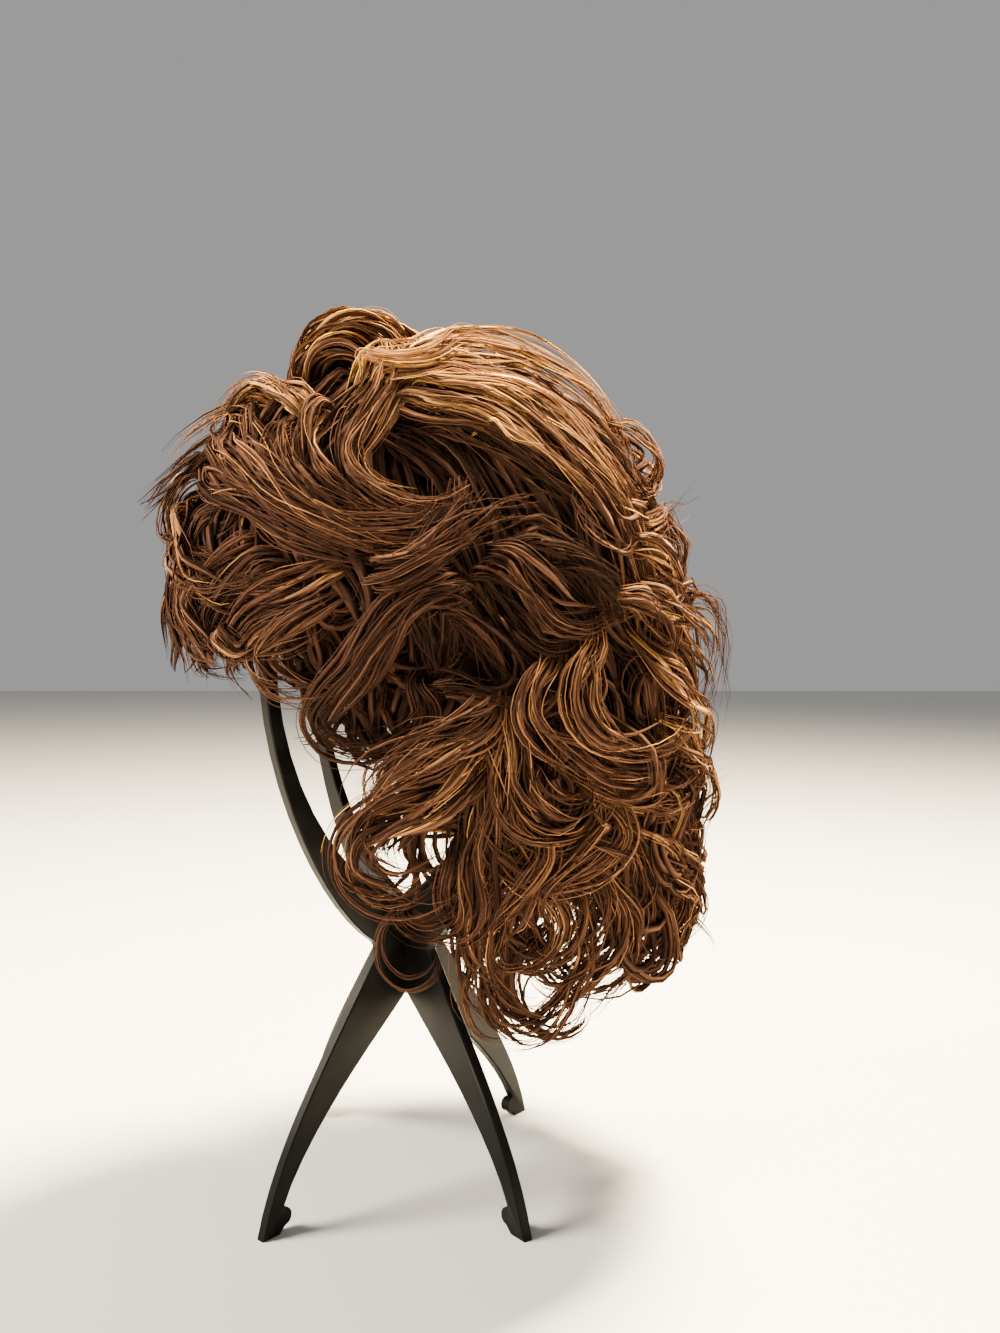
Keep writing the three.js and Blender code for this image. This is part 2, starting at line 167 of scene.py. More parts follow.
LOCKS = [
    # The crown's top locks take the lightest tones, up to gold: partly the hair's own gold, partly a painted
    # highlight on the lit top.
    lock("crown", 16, 19, 38, (0.52, 1.0), [(-18, 344), (0, 348), (20, 355), (42, 354), (64, 345),
         (81, 331), (92, 313), (97, 294)]),
    lock("crown", 18, 19, 40, (0.52, 1.0), [(-16, 340), (2, 347), (22, 348), (48, 344), (70, 333),
         (86, 317), (95, 298), (100, 278)]),
    lock("crown", 18, 18, 40, (0.52, 1.0), [(-14, 336), (2, 341), (20, 339), (46, 334), (66, 322),
         (82, 305), (93, 287), (101, 268)]),
    lock("crown", 16, 18, 38, (0.4, 0.9), [(-14, 331), (0, 335), (12, 332), (32, 328), (52, 317),
         (70, 302), (85, 286), (97, 270)]),
    lock("crown", 14, 17, 34, (0.32, 0.8), [(-14, 325), (-4, 330), (8, 328), (28, 322), (46, 312),
         (62, 300), (77, 287), (90, 274)]),
    lock("crown", 13, 15, 30, (0.1, 0.5), [(-2, 324), (14, 320), (30, 314), (46, 305), (60, 296),
         (74, 288), (86, 280)]),
    # These two low locks lie in a hollow and take the darkest tones: painted shade.
    lock("crown", 14, 6, 26, (0.0, 0.2), [(-6, 320), (4, 316), (16, 309), (26, 301), (32, 292)]),
    lock("crown", 12, 7, 24, (0.0, 0.2), [(-8, 314), (0, 306), (10, 300), (22, 296), (34, 296)]),
    lock("crown", 6, 20, 12, (0.55, 0.95), [(30, 325), (40, 321), (46, 315), (52, 311), (60, 306)]),
    lock("brow", 16, 18, 38, (0.25, 0.8), [(-44, 329), (-56, 333), (-68, 330), (-74, 319), (-68, 304),
         (-53, 289), (-33, 276), (-10, 268), (10, 268), (24, 277), (32, 288)]),
    lock("brow", 16, 17, 36, (0.25, 0.8), [(-52, 327), (-64, 325), (-70, 313), (-64, 299), (-50, 287),
         (-32, 278), (-12, 273), (6, 274), (17, 283), (19, 296)]),
    lock("brow", 15, 16, 34, (0.2, 0.75), [(-72, 318), (-82, 309), (-82, 299), (-72, 290), (-56, 280),
         (-38, 268), (-20, 261), (0, 262), (18, 270)]),
    lock("brow", 13, 16, 30, (0.2, 0.75), [(-88, 300), (-80, 292), (-64, 284), (-48, 272), (-33, 264),
         (-16, 258)]),
    lock("crown", 14, 25, 30, (0.52, 1.0), [(-30, 344), (-18, 350), (-6, 349), (6, 350), (20, 355),
         (34, 353), (50, 345), (66, 333)]),
    lock("crown", 12, 22, 26, (0.52, 1.0), [(-22, 338), (-10, 343), (4, 344), (20, 345), (36, 340),
         (50, 332)]),
    lock("brow", 12, 19, 30, (0.3, 0.8), [(-28, 346), (-16, 356), (-4, 352), (-5, 338), (-15, 321),
         (-22, 306), (-16, 295), (-2, 288), (14, 287), (26, 291)]),
    lock("brow", 10, 18, 26, (0.25, 0.75), [(-34, 340), (-22, 350), (-10, 346), (-13, 332), (-23, 320),
         (-27, 309), (-22, 297), (-10, 290), (4, 283), (20, 282)]),
    lock("brow", 12, 17, 28, (0.2, 0.7), [(-30, 332), (-38, 325), (-42, 312), (-38, 298), (-26, 288),
         (-10, 280), (8, 278)]),
    lock("brow", 14, 16, 30, (0.2, 0.7), [(-46, 324), (-52, 312), (-50, 298), (-40, 286), (-24, 277),
         (-6, 272)]),
    lock("brow", 12, 20, 28, (0.4, 0.9), [(-40, 326), (-52, 334), (-64, 336), (-74, 330), (-80, 318)]),
    lock("brow", 6, 17, 28, (0.2, 0.65), [(-62, 322), (-76, 316), (-88, 309), (-98, 300), (-107, 290),
         (-116, 279)], body=2.4),
    lock("brow", 6, 17, 24, (0.15, 0.55), [(-70, 312), (-82, 306), (-92, 299), (-103, 290),
         (-114, 280)], body=2.4),
    lock("brow", 5, 16, 20, (0.15, 0.55), [(-78, 308), (-88, 301), (-97, 293), (-106, 285),
         (-113, 278)], body=2.4),
    lock("brow", 12, 19, 28, (0.4, 0.9), [(-58, 330), (-72, 326), (-84, 320), (-94, 311), (-100, 301)]),
    lock("fringe", 12, 15, 28, (0.2, 0.7), [(-84, 304), (-95, 295), (-101, 281), (-100, 268), (-93, 259),
         (-83, 256)]),
    lock("fringe", 12, 14, 28, (0.2, 0.7), [(-80, 298), (-91, 289), (-97, 277), (-95, 265), (-86, 258),
         (-72, 255), (-58, 254), (-46, 257)]),
    lock("fringe", 12, 13, 28, (0.15, 0.6), [(-70, 290), (-84, 281), (-92, 268), (-96, 254), (-95, 240),
         (-90, 228), (-86, 219), (-81, 218)]),
    lock("fringe", 10, 13, 24, (0.15, 0.6), [(-58, 276), (-70, 268), (-82, 260), (-91, 250), (-93, 239),
         (-88, 229)]),
    lock("fringe", 10, 12, 24, (0.1, 0.55), [(-50, 266), (-64, 260), (-76, 250), (-84, 238), (-84, 226),
         (-80, 220)]),
    lock("fringe", 9, 12, 20, (0.15, 0.6), [(-88, 252), (-84, 243), (-74, 237), (-62, 238), (-52, 243),
         (-44, 248)]),
    lock("fringe", 12, 15, 30, (0.2, 0.7), [(-20, 256), (-36, 243), (-54, 233), (-64, 221), (-58, 209),
         (-43, 203), (-26, 205), (-14, 214), (-8, 226)]),
    lock("fringe", 9, 13, 22, (0.15, 0.6), [(-40, 252), (-56, 246), (-70, 236), (-76, 224), (-72, 213),
         (-62, 207)]),
    lock("fringe", 8, 14, 20, (0.15, 0.6), [(-30, 250), (-46, 238), (-60, 230), (-70, 222), (-74, 214),
         (-66, 208)]),
    lock("fringe", 10, 13, 24, (0.2, 0.7), [(-24, 262), (-40, 254), (-58, 250), (-74, 250), (-86, 256)]),
    lock("fringe", 12, 11, 24, (0.1, 0.5), [(-62, 262), (-76, 250), (-86, 238), (-90, 227), (-86, 219),
         (-78, 218)]),
    lock("fringe", 12, 10, 24, (0.05, 0.45), [(-56, 250), (-68, 240), (-78, 230), (-82, 221), (-76, 214),
         (-68, 212)]),
    lock("side", 14, 21, 36, (0.2, 0.52), [(-24, 262), (-10, 258), (4, 261), (18, 268), (32, 276),
         (44, 281), (56, 283)]),
    lock("side", 10, 20, 24, (0.15, 0.47), [(-20, 258), (-6, 256), (6, 262), (14, 272), (22, 283),
         (27, 292)]),
    lock("side", 14, 12, 24, (0.05, 0.4), [(-2, 252), (4, 240), (8, 228), (10, 214), (8, 202)]),
    lock("side", 14, 12, 24, (0.0, 0.35), [(22, 250), (28, 238), (32, 226), (34, 214), (36, 202)]),
    lock("side", 14, 13, 24, (0.05, 0.4), [(40, 246), (46, 234), (50, 222), (54, 210), (60, 200)]),
    lock("side", 14, 17, 32, (0.1, 0.42), [(30, 266), (22, 252), (8, 248), (-3, 240), (-12, 227),
         (-21, 213), (-32, 203), (-38, 193), (-33, 184), (-20, 181), (-5, 184), (5, 193), (6, 205)]),
    lock("side", 13, 18, 30, (0.1, 0.42), [(34, 258), (20, 250), (6, 247), (-4, 239), (-12, 228),
         (-18, 217), (-16, 206)]),
    lock("side", 11, 15, 26, (0.0, 0.17), [(4, 244), (7, 235), (10, 225), (13, 215), (20, 209)]),
    lock("side", 13, 17, 32, (0.15, 0.47), [(12, 243), (22, 240), (32, 232), (39, 221), (45, 210),
         (52, 201)]),
    lock("side", 14, 19, 34, (0.15, 0.47), [(34, 270), (46, 262), (56, 250), (64, 239), (76, 235),
         (90, 239), (105, 242)]),
    lock("side", 12, 16, 28, (0.0, 0.27), [(28, 262), (40, 252), (50, 240), (56, 228), (58, 217)]),
    lock("side", 14, 19, 32, (0.05, 0.37), [(44, 276), (60, 271), (76, 263), (88, 252), (94, 241)]),
    lock("side", 12, 17, 28, (0.0, 0.27), [(60, 262), (74, 258), (84, 249), (88, 238), (84, 228)]),
    lock("side", 7, 22, 20, (0.1, 0.37), [(6, 207), (20, 209), (33, 205), (44, 199), (52, 192)]),
    lock("side", 12, 16, 26, (0.0, 0.27), [(45, 240), (52, 230), (60, 224), (70, 224), (80, 228)]),
    lock("side", 10, 8, 20, (0.0, 0.1), [(-14, 262), (-10, 250), (-12, 240), (-20, 232)]),
    lock("side", 9, 18, 24, (0.1, 0.42), [(10, 216), (4, 208), (8, 196), (2, 187), (-12, 182), (-27, 183),
         (-36, 191), (-36, 202)]),
    lock("back", 9, 19, 24, (0.35, 0.85), [(82, 332), (92, 320), (101, 312), (107, 303), (104, 293),
         (98, 292), (97, 299)]),
    lock("back", 8, 20, 24, (0.4, 0.9), [(88, 296), (98, 284), (108, 281), (117, 285), (124, 290),
         (129, 294)]),
    lock("back", 9, 20, 24, (0.3, 0.8), [(92, 290), (103, 278), (113, 277), (119, 268), (117, 257),
         (109, 254), (104, 260)]),
    lock("back", 10, 20, 26, (0.3, 0.8), [(95, 276), (105, 266), (113, 256), (118, 247), (116, 238)]),
    lock("back", 12, 22, 30, (0.3, 0.85), [(98, 262), (108, 250), (120, 247), (130, 243), (134, 233),
         (136, 218), (136, 203), (132, 190)]),
    lock("back", 12, 22, 30, (0.25, 0.8), [(96, 256), (108, 243), (118, 234), (127, 222), (131, 207),
         (128, 194)]),
    lock("back", 10, 21, 26, (0.2, 0.7), [(90, 250), (100, 243), (108, 236), (112, 226), (108, 216),
         (98, 214)]),
    lock("nape", 16, 24, 38, (0.25, 0.8), [(54, 218), (46, 200), (43, 183), (43, 166), (48, 151),
         (59, 143), (72, 142), (82, 150), (85, 163), (80, 174)]),
    lock("nape", 12, 26, 30, (0.25, 0.75), [(74, 226), (66, 216), (56, 206), (53, 195), (59, 185),
         (69, 178), (80, 172), (90, 171)]),
    lock("nape", 14, 27, 34, (0.25, 0.8), [(92, 242), (88, 227), (80, 213), (77, 199), (82, 187),
         (93, 181), (106, 182), (118, 187), (126, 194)]),
    lock("nape", 12, 25, 30, (0.2, 0.75), [(70, 200), (76, 184), (86, 172), (98, 168), (111, 169),
         (123, 174), (131, 182)]),
    lock("nape", 13, 27, 32, (0.3, 0.85), [(78, 176), (88, 163), (100, 158), (113, 160), (124, 165),
         (131, 173)]),
    lock("nape", 13, 25, 34, (0.25, 0.8), [(84, 166), (96, 155), (109, 144), (119, 130), (123, 114),
         (116, 100), (104, 92), (90, 88)]),
    lock("nape", 10, 23, 26, (0.2, 0.7), [(80, 160), (92, 146), (101, 132), (104, 118), (100, 105),
         (92, 98)]),
    lock("nape", 16, 24, 40, (0.25, 0.85), [(50, 206), (42, 184), (26, 167), (8, 155), (-10, 149),
         (-22, 140), (-24, 127), (-14, 118), (2, 115), (16, 119), (26, 128)]),
    lock("nape", 18, 26, 38, (0.25, 0.75), [(48, 208), (38, 195), (22, 187), (4, 181), (-11, 172),
         (-20, 160), (-23, 147)]),
    lock("nape", 14, 22, 30, (0.2, 0.7), [(34, 186), (18, 178), (2, 172), (-10, 164), (-16, 154)]),
    lock("nape", 16, 17, 24, (0.05, 0.5), [(46, 196), (30, 184), (12, 174), (-4, 166), (-14, 152),
         (-14, 138)]),
    lock("nape", 16, 18, 24, (0.05, 0.5), [(44, 186), (30, 170), (14, 160), (0, 150), (-8, 138),
         (-4, 126)]),
    lock("nape", 12, 25, 32, (0.2, 0.75), [(44, 190), (37, 170), (33, 150), (31, 131), (30, 114),
         (23, 103), (11, 101), (3, 107)]),
    lock("nape", 14, 23, 32, (0.2, 0.7), [(48, 186), (40, 165), (38, 145), (46, 132), (59, 125),
         (72, 119), (82, 117)]),
    lock("nape", 4, 22, 12, (0.05, 0.45), [(14, 120), (2, 114), (-8, 109), (-12, 99), (-9, 87), (0, 80),
         (10, 83), (14, 92), (8, 97)], body=0.7),
    lock("nape", 9, 21, 22, (0.2, 0.7), [(42, 176), (34, 152), (30, 130), (28, 114), (18, 104), (6, 103),
         (-2, 110), (0, 118)]),
    lock("nape", 12, 22, 28, (0.25, 0.75), [(44, 168), (38, 142), (34, 118), (28, 104), (28, 93),
         (36, 83), (47, 77), (58, 76)]),
    lock("nape", 14, 25, 34, (0.25, 0.8), [(50, 174), (60, 152), (60, 134), (48, 122), (38, 112),
         (33, 100), (37, 89), (47, 84)]),
    lock("nape", 12, 24, 30, (0.25, 0.8), [(47, 172), (46, 148), (52, 128), (62, 117), (66, 105),
         (61, 94), (51, 89), (42, 92)]),
    lock("nape", 14, 27, 34, (0.3, 0.85), [(78, 186), (90, 164), (92, 144), (80, 133), (68, 126),
         (58, 118), (56, 107), (64, 98)]),
    lock("nape", 10, 22, 24, (0.2, 0.7), [(92, 160), (103, 132), (104, 106), (100, 90), (91, 77),
         (79, 69), (66, 67)]),
    lock("nape", 10, 23, 24, (0.2, 0.7), [(82, 158), (91, 132), (92, 108), (88, 91), (78, 78), (64, 72),
         (50, 75)]),
    lock("nape", 9, 21, 22, (0.2, 0.7), [(68, 140), (76, 112), (74, 90), (64, 72), (52, 62), (40, 64),
         (33, 74)]),
    lock("nape", 3, 24, 6, (0.25, 0.7), [(108, 148), (112, 130), (122, 110), (132, 97), (133, 88),
         (128, 84)]),
    lock("nape", 12, 26, 28, (0.25, 0.75), [(100, 150), (110, 140), (118, 128), (121, 114), (116, 102)]),
    lock("nape", 12, 26, 28, (0.25, 0.8), [(104, 236), (112, 217), (122, 202), (128, 190), (126, 178),
         (116, 174)]),
    lock("nape", 10, 26, 26, (0.25, 0.8), [(108, 200), (118, 184), (128, 172), (131, 160), (126, 150),
         (116, 148)]),
    lock("nape", 14, 25, 30, (0.2, 0.75), [(58, 176), (56, 164), (64, 157), (76, 160), (80, 170)]),
    lock("nape", 12, 24, 28, (0.2, 0.75), [(74, 158), (80, 136), (88, 118), (92, 106), (90, 96), (80, 90),
         (70, 94)]),
    lock("nape", 12, 25, 28, (0.2, 0.75), [(70, 150), (84, 140), (94, 128), (96, 116), (88, 108)]),
    lock("nape", 11, 20, 24, (0.15, 0.65), [(56, 150), (50, 130), (42, 114), (43, 100), (53, 91),
         (64, 95), (66, 106)]),
    lock("nape", 10, 17, 20, (0.05, 0.5), [(66, 146), (62, 124), (54, 108), (44, 100), (35, 104),
         (36, 115)]),
    lock("nape", 11, 21, 24, (0.2, 0.7), [(70, 142), (73, 118), (66, 100), (53, 89), (41, 90),
         (36, 100)]),
    lock("nape", 11, 23, 26, (0.25, 0.8), [(82, 146), (87, 124), (83, 104), (70, 91), (57, 92),
         (54, 103)]),
    lock("nape", 10, 18, 20, (0.05, 0.55), [(58, 140), (53, 116), (56, 96), (65, 82), (77, 78),
         (84, 86)]),
    lock("nape", 11, 22, 24, (0.2, 0.7), [(96, 142), (102, 118), (98, 98), (86, 83), (72, 79), (64, 87)]),
    lock("nape", 10, 17, 18, (0.05, 0.5), [(44, 150), (41, 128), (45, 108), (56, 98), (65, 104),
         (60, 113)]),
    lock("nape", 11, 24, 24, (0.2, 0.75), [(110, 152), (117, 130), (116, 110), (107, 95), (94, 90),
         (86, 97)]),
    lock("nape", 10, 22, 22, (0.15, 0.65), [(88, 150), (96, 126), (92, 104), (80, 88), (66, 80), (56, 84),
         (54, 94)]),
    lock("nape", 9, 20, 20, (0.15, 0.65), [(30, 150), (22, 132), (18, 116), (24, 103), (36, 98),
         (45, 104)]),
    lock("nape", 12, 22, 26, (0.2, 0.7), [(44, 150), (40, 126), (38, 106), (34, 90), (38, 76), (48, 66),
         (60, 62), (68, 68)]),
    lock("nape", 11, 20, 24, (0.2, 0.7), [(58, 140), (56, 116), (50, 96), (46, 80), (52, 66), (64, 60),
         (74, 64), (76, 74)]),
    lock("nape", 10, 21, 22, (0.15, 0.65), [(34, 136), (28, 116), (26, 98), (32, 84), (44, 74),
         (54, 74)]),
    lock("nape", 9, 23, 20, (0.25, 0.75), [(76, 130), (80, 106), (78, 86), (70, 70), (58, 58), (46, 56),
         (40, 62)]),
    lock("brow", 7, 17, 18, (0.15, 0.5), [(-84, 309), (-94, 302), (-104, 293), (-113, 284)], body=2.4),
    lock("brow", 7, 17, 18, (0.1, 0.45), [(-86, 303), (-95, 295), (-104, 287), (-112, 282)], body=2.4),
    lock("nape", 11, 22, 26, (0.25, 0.75), [(44, 172), (34, 166), (23, 161), (12, 155), (-3, 152),
         (-14, 149), (-20, 140), (-15, 130), (-5, 125), (5, 126), (14, 130), (23, 135),
         (32, 138)], body=1.2),
    lock("nape", 11, 18, 20, (0.1, 0.5), [(42, 168), (33, 158), (26, 146), (21, 134), (20, 122),
         (25, 112)], body=1.4),
    lock("fringe", 12, 18, 28, (0.3, 0.8), [(-90, 294), (-96, 284), (-98, 272), (-96, 260), (-91, 251),
         (-81, 247), (-68, 249), (-52, 253)], body=1.5),
    lock("fringe", 10, 16, 24, (0.2, 0.65), [(-86, 262), (-92, 251), (-94, 241), (-91, 231), (-86, 223),
         (-81, 219), (-78, 224)], body=1.5),
    lock("fringe", 10, 17, 24, (0.25, 0.7), [(-84, 240), (-78, 228), (-70, 221), (-56, 228), (-39, 232),
         (-25, 239)], body=1.5),
    lock("nape", 10, 21, 22, (0.2, 0.7), [(46, 136), (40, 118), (34, 102), (28, 87), (27, 73), (35, 62),
         (46, 62)], body=1.2),
    lock("nape", 10, 19, 20, (0.2, 0.7), [(54, 124), (47, 106), (40, 88), (36, 74), (40, 62), (50, 58),
         (58, 65)], body=1.2),
]

# Locks strewn over each half of the head, under and between the ones above. Azimuth is degrees from the
# forehead, polar degrees down from the top, drop millimetres below the head's equator. Headings are degrees
# from the way the hair falls, towards the back. Lift, length, wavelength, radius and spread are in
# millimetres.


def zone(group, clumps=3, strands=1, points=12, polar=(90, 90), drop=(0, 0), wavelength=60, **row):
    return dict(group=group, clumps=clumps, strands=strands, points=points, polar=polar, drop=drop,
                wavelength=wavelength, **row)


ZONES = {
    # The base, under and lining zones lie beneath the others and take the darkest tones: partly the hair's
    # own darker under-layer, partly painted shade.
    "crown_base": zone("crown", locks=34, azimuth=(0, 180), polar=(8, 50), lift=(4, 8), length=(70, 110),
         heading=(0, 30), wave=14, wavelength=70, turns=(0, 0.1), radius=(14, 20), spread=8, body=2.0,
         tone=(0.0, 0.4)),
    "crown_top": zone("crown", locks=22, strands=6, points=15, azimuth=(125, 180), polar=(5, 36),
         lift=(13, 18), length=(100, 150), heading=(-5, 15), wave=9, wavelength=90, turns=(0, 0.2),
         radius=(12, 16), spread=7, body=1.25, tone=(0.25, 0.8)),
    "crown_middle": zone("crown", locks=14, clumps=4, strands=3, azimuth=(0, 180), polar=(0, 20),
         lift=(9, 15), length=(60, 90), heading=(-40, 40), wave=10, wavelength=80, turns=(0, 0.1),
         radius=(12, 16), spread=8, body=1.8, tone=(0.25, 0.8)),
    "back_mid": zone("back", locks=20, strands=7, points=18, azimuth=(138, 180), polar=(50, 90),
         lift=(12, 22), length=(60, 105), heading=(-25, 25), wave=25, turns=(0.3, 0.8), radius=(10, 16),
         spread=7, body=1.4, tone=(0.1, 0.6)),
    "back_base": zone("back", locks=16, azimuth=(110, 180), polar=(45, 90), lift=(4, 9), length=(60, 100),
         heading=(-15, 25), wave=18, turns=(0, 0.2), radius=(12, 18), spread=8, body=2.0,
         tone=(0.0, 0.35)),
    "nape_back": zone("nape", locks=28, clumps=5, strands=2, points=18, azimuth=(134, 182), drop=(5, 85),
         lift=(12, 27), length=(75, 105), heading=(-25, 30), wave=22, wavelength=70, turns=(0.35, 0.85),
         radius=(12, 19), spread=7, body=1.6, tone=(0.1, 0.65)),
    "nape_low": zone("nape", locks=14, clumps=4, strands=3, points=16, azimuth=(100, 150), drop=(60, 95),
         lift=(12, 24), length=(50, 75), heading=(-25, 30), wave=22, turns=(0.6, 1.1), radius=(9, 14),
         spread=7, body=1.25, tone=(0.1, 0.6)),
    "side_base": zone("side", locks=20, azimuth=(60, 130), polar=(45, 90), lift=(4, 9), length=(50, 80),
         heading=(-10, 40), wave=20, turns=(0.1, 0.3), radius=(12, 20), spread=8, body=2.0,
         tone=(0.0, 0.35)),
    "nape_base": zone("nape", locks=28, points=16, azimuth=(96, 138), drop=(8, 50), lift=(8, 18),
         length=(60, 95), heading=(-15, 40), wave=24, turns=(0.3, 0.8), radius=(12, 18), spread=8,
         body=2.0, tone=(0.0, 0.5)),
    "fringe_base": zone("fringe", locks=22, points=11, azimuth=(0, 68), polar=(50, 77), lift=(4, 9),
         length=(35, 58), heading=(18, 32), wave=10, turns=(0.1, 0.3), radius=(14, 22), spread=8,
         body=2.0, tone=(0.0, 0.4)),
    "temple_base": zone("side", locks=20, clumps=4, strands=3, points=11, azimuth=(64, 92),
         polar=(66, 90), drop=(0, 14), lift=(5, 12), length=(44, 58), heading=(-15, 25), wave=18,
         turns=(0.2, 0.5), radius=(10, 14), spread=7, body=2.0, tone=(0.0, 0.4)),
    "fringe_hem": zone("fringe", locks=16, clumps=4, strands=3, points=13, azimuth=(0, 60),
         polar=(58, 72), lift=(4, 9), length=(42, 58), heading=(12, 28), wave=12, turns=(0.1, 0.3),
         radius=(14, 20), spread=6, body=1.5, tone=(0.05, 0.5)),
    "fringe_middle": zone("fringe", locks=22, clumps=4, strands=3, points=16, azimuth=(-8, 24),
         polar=(18, 60), lift=(6, 13), length=(62, 86), heading=(-25, 25), wave=18, turns=(0.2, 0.5),
         radius=(12, 17), spread=7, body=1.6, tone=(0.2, 0.8)),
    "fringe_front": zone("fringe", locks=20, clumps=4, strands=3, points=16, azimuth=(14, 50),
         polar=(34, 62), lift=(5, 11), length=(60, 84), heading=(20, 34), wave=14, turns=(0.15, 0.4),
         radius=(14, 20), spread=7, body=1.5, tone=(0.1, 0.55)),
    "nape_under": zone("nape", locks=18, clumps=4, azimuth=(126, 182), drop=(12, 62), lift=(6, 14),
         length=(55, 85), heading=(-15, 20), wave=20, turns=(0.1, 0.4), radius=(14, 20), spread=8,
         body=2.4, tone=(0.0, 0.45)),
    "nape_lining": zone("nape", locks=9, azimuth=(128, 182), drop=(10, 50), lift=(5, 10), length=(60, 85),
         heading=(-8, 8), wave=12, turns=(0.0, 0.2), radius=(14, 20), spread=9, body=2.6,
         tone=(0.0, 0.4)),
}

# How the locks of a zone differ, how their strands lie apart, rise from the cap and gather towards the tip.
# Reaches and the gathering's delay are shares of a lock's length, and heading and phase are in radians.

FORWARD_CURLS = 0.3
SPREAD_ACROSS = 0.45
SPREAD_DEPTH = 0.22
LENGTH_SPREAD = (0.85, 1.05)
RADIUS_SPREAD = (0.93, 1.07)
HEADING_SCATTER = 0.04
PHASE_SCATTER = 0.1
RISE_REACH = 0.3
HEAVE = 2.5 * MM
HEAVE_REACH = 0.4
GATHER = 0.45
GATHER_DELAY = 0.3

# The roll above the forehead: barrels side by side, each wound about a level line, in millimetres

ROLL = dict(group="roll", half_width=20, locks=8, width=11, body=1.7)
OUTER_BARREL = ROLL | dict(back=-23, up=340, half_height=18, start=-4, turns=1.1, tone=(0.3, 0.9))
MIDDLE_BARREL = ROLL | dict(back=-16, up=341, half_height=17, start=-12, turns=1.0, tone=(0.35, 0.95))
ROLLS = [
    OUTER_BARREL | dict(across=(3, 32), strands=13),
    MIDDLE_BARREL | dict(across=(-16, 16), strands=12),
    OUTER_BARREL | dict(across=(-32, -3), strands=10),
]

# How the roll sags and thins towards its ends, and how its locks vary, splay, lean and sway, in millimetres.
# Sizes and losses are shares, turns are whole turns, and waves and phases are in radians.

ROLL_HALF_LENGTH = 32
ROLL_POINTS = 60
ROLL_SAG = 12
ROLL_END_LOSS = 0.25
ROLL_SCATTER = 1.5
ROLL_TURN_SPREAD = (-0.3, 0.25)
ROLL_SIZES = (0.84, 1.04)
ROLL_HEAVE = 0.07
ROLL_HEAVE_WAVES = 7
ROLL_SPLAY = -10
ROLL_LEAN = 11
ROLL_LEAN_START = 0.3
ROLL_SWAY = 4
ROLL_SWAY_WAVES = 5
ROLL_PHASES = (0, 6)

# Pieces of hair and the solids that they stand for

HAIR_PIECES = {
    "crown_strands": ["crown_hair", "upper_left_wave", "upper_back_wave", "upper_right_wave"],
    "front_roll_strands": ["front_roll"],
    "brow_strands": ["brow_wave_1", "brow_wave_2", "brow_wave_3"],
    "fringe_strands": ["fringe_curl_1", "fringe_curl_2", "fringe_curl_3", "fringe_curl_4", "fringe_curl_5"],
    "left_side_strands": ["left_wave", "left_temple_curl", "left_ear_curl"],
    "right_side_strands": ["right_wave", "right_temple_curl", "right_ear_curl"],
    "back_strands": ["back_wave_1", "back_wave_2", "back_curl_1", "back_curl_2", "back_curl_3"],
    "left_nape_strands": ["nape_curl_1", "nape_curl_2", "nape_curl_3", "nape_curl_4"],
    "right_nape_strands": ["nape_curl_5", "nape_curl_6", "nape_curl_7", "nape_curl_8"],
}
SPLIT_GROUPS = ("side", "nape")

# Small helpers


def smooth(t):
    """A rise from 0 to 1 that starts and ends level."""
    t = np.clip(t, 0, 1)
    return t * t * (3 - 2 * t)


def taper(share, root, widens, lost, narrows):
    """The size along a length that swells from its root and narrows to its tip."""
    widened = root + (1 - root) * smooth(share / widens)
    return widened * (1 - lost * smooth((share - narrows) / (1 - narrows)))


def unit(v):
    return v / np.maximum(np.linalg.norm(v, axis=-1, keepdims=True), 1e-12)


def along(v, w):
    return np.sum(v * w, axis=-1, keepdims=True)


def round_corners(sides):
    """The cosines and sines of the corners of a ring."""
    turn = np.arange(sides) * FULL_TURN / sides
    return np.cos(turn)[:, None], np.sin(turn)[:, None]


def select_only(piece):
    bpy.ops.object.select_all(action="DESELECT")
    piece.select_set(True)
    bpy.context.view_layer.objects.active = piece


def add_to_scene(name, data):
    piece = bpy.data.objects.new(name, data)
    bpy.context.scene.collection.objects.link(piece)
    return piece


# The head form


def form_ratio(points, lift):
    q = (points - HEAD_CENTRE) / (HEAD_RADII + lift)
    q[..., 2] = np.maximum(q[..., 2], 0)
    return np.linalg.norm(q, axis=-1)


def onto_form(points, lift):
    ratio = form_ratio(points, lift)[..., None]
    moved = HEAD_CENTRE + (points - HEAD_CENTRE) / ratio
    moved[..., 2] = np.where(points[..., 2] < HEAD_CENTRE[2], points[..., 2], moved[..., 2])
    return moved


def form_normal(points):
    q = (points - HEAD_CENTRE) / HEAD_RADII ** 2
    q[..., 2] = np.maximum(q[..., 2], 0)
    return unit(q)


def way_round(polar, azimuth):
    """The way from the head's middle at an angle down from the top and an angle round from the forehead."""
    across, ahead = np.sin(polar) * np.sin(azimuth), np.sin(polar) * np.cos(azimuth)
    return np.stack([across, -ahead, np.cos(polar)], axis=-1)


def seen_on_form(back, up, lift):
    """The place on the lifted form that the camera sees at (back, up), or the nearest at the outline."""
    target = AXIS + np.array([0.0, back, up]) * MM
    share = np.linspace(*SIGHT_SPAN, SIGHT_STEPS)[:, None]
    ray = CAMERA_PLACE + (target - CAMERA_PLACE) * share
    ratio = form_ratio(ray, lift)
    inside = np.flatnonzero(ratio <= 1)
    return ray[inside[0] if len(inside) else np.argmin(ratio)]


# Guides and strands


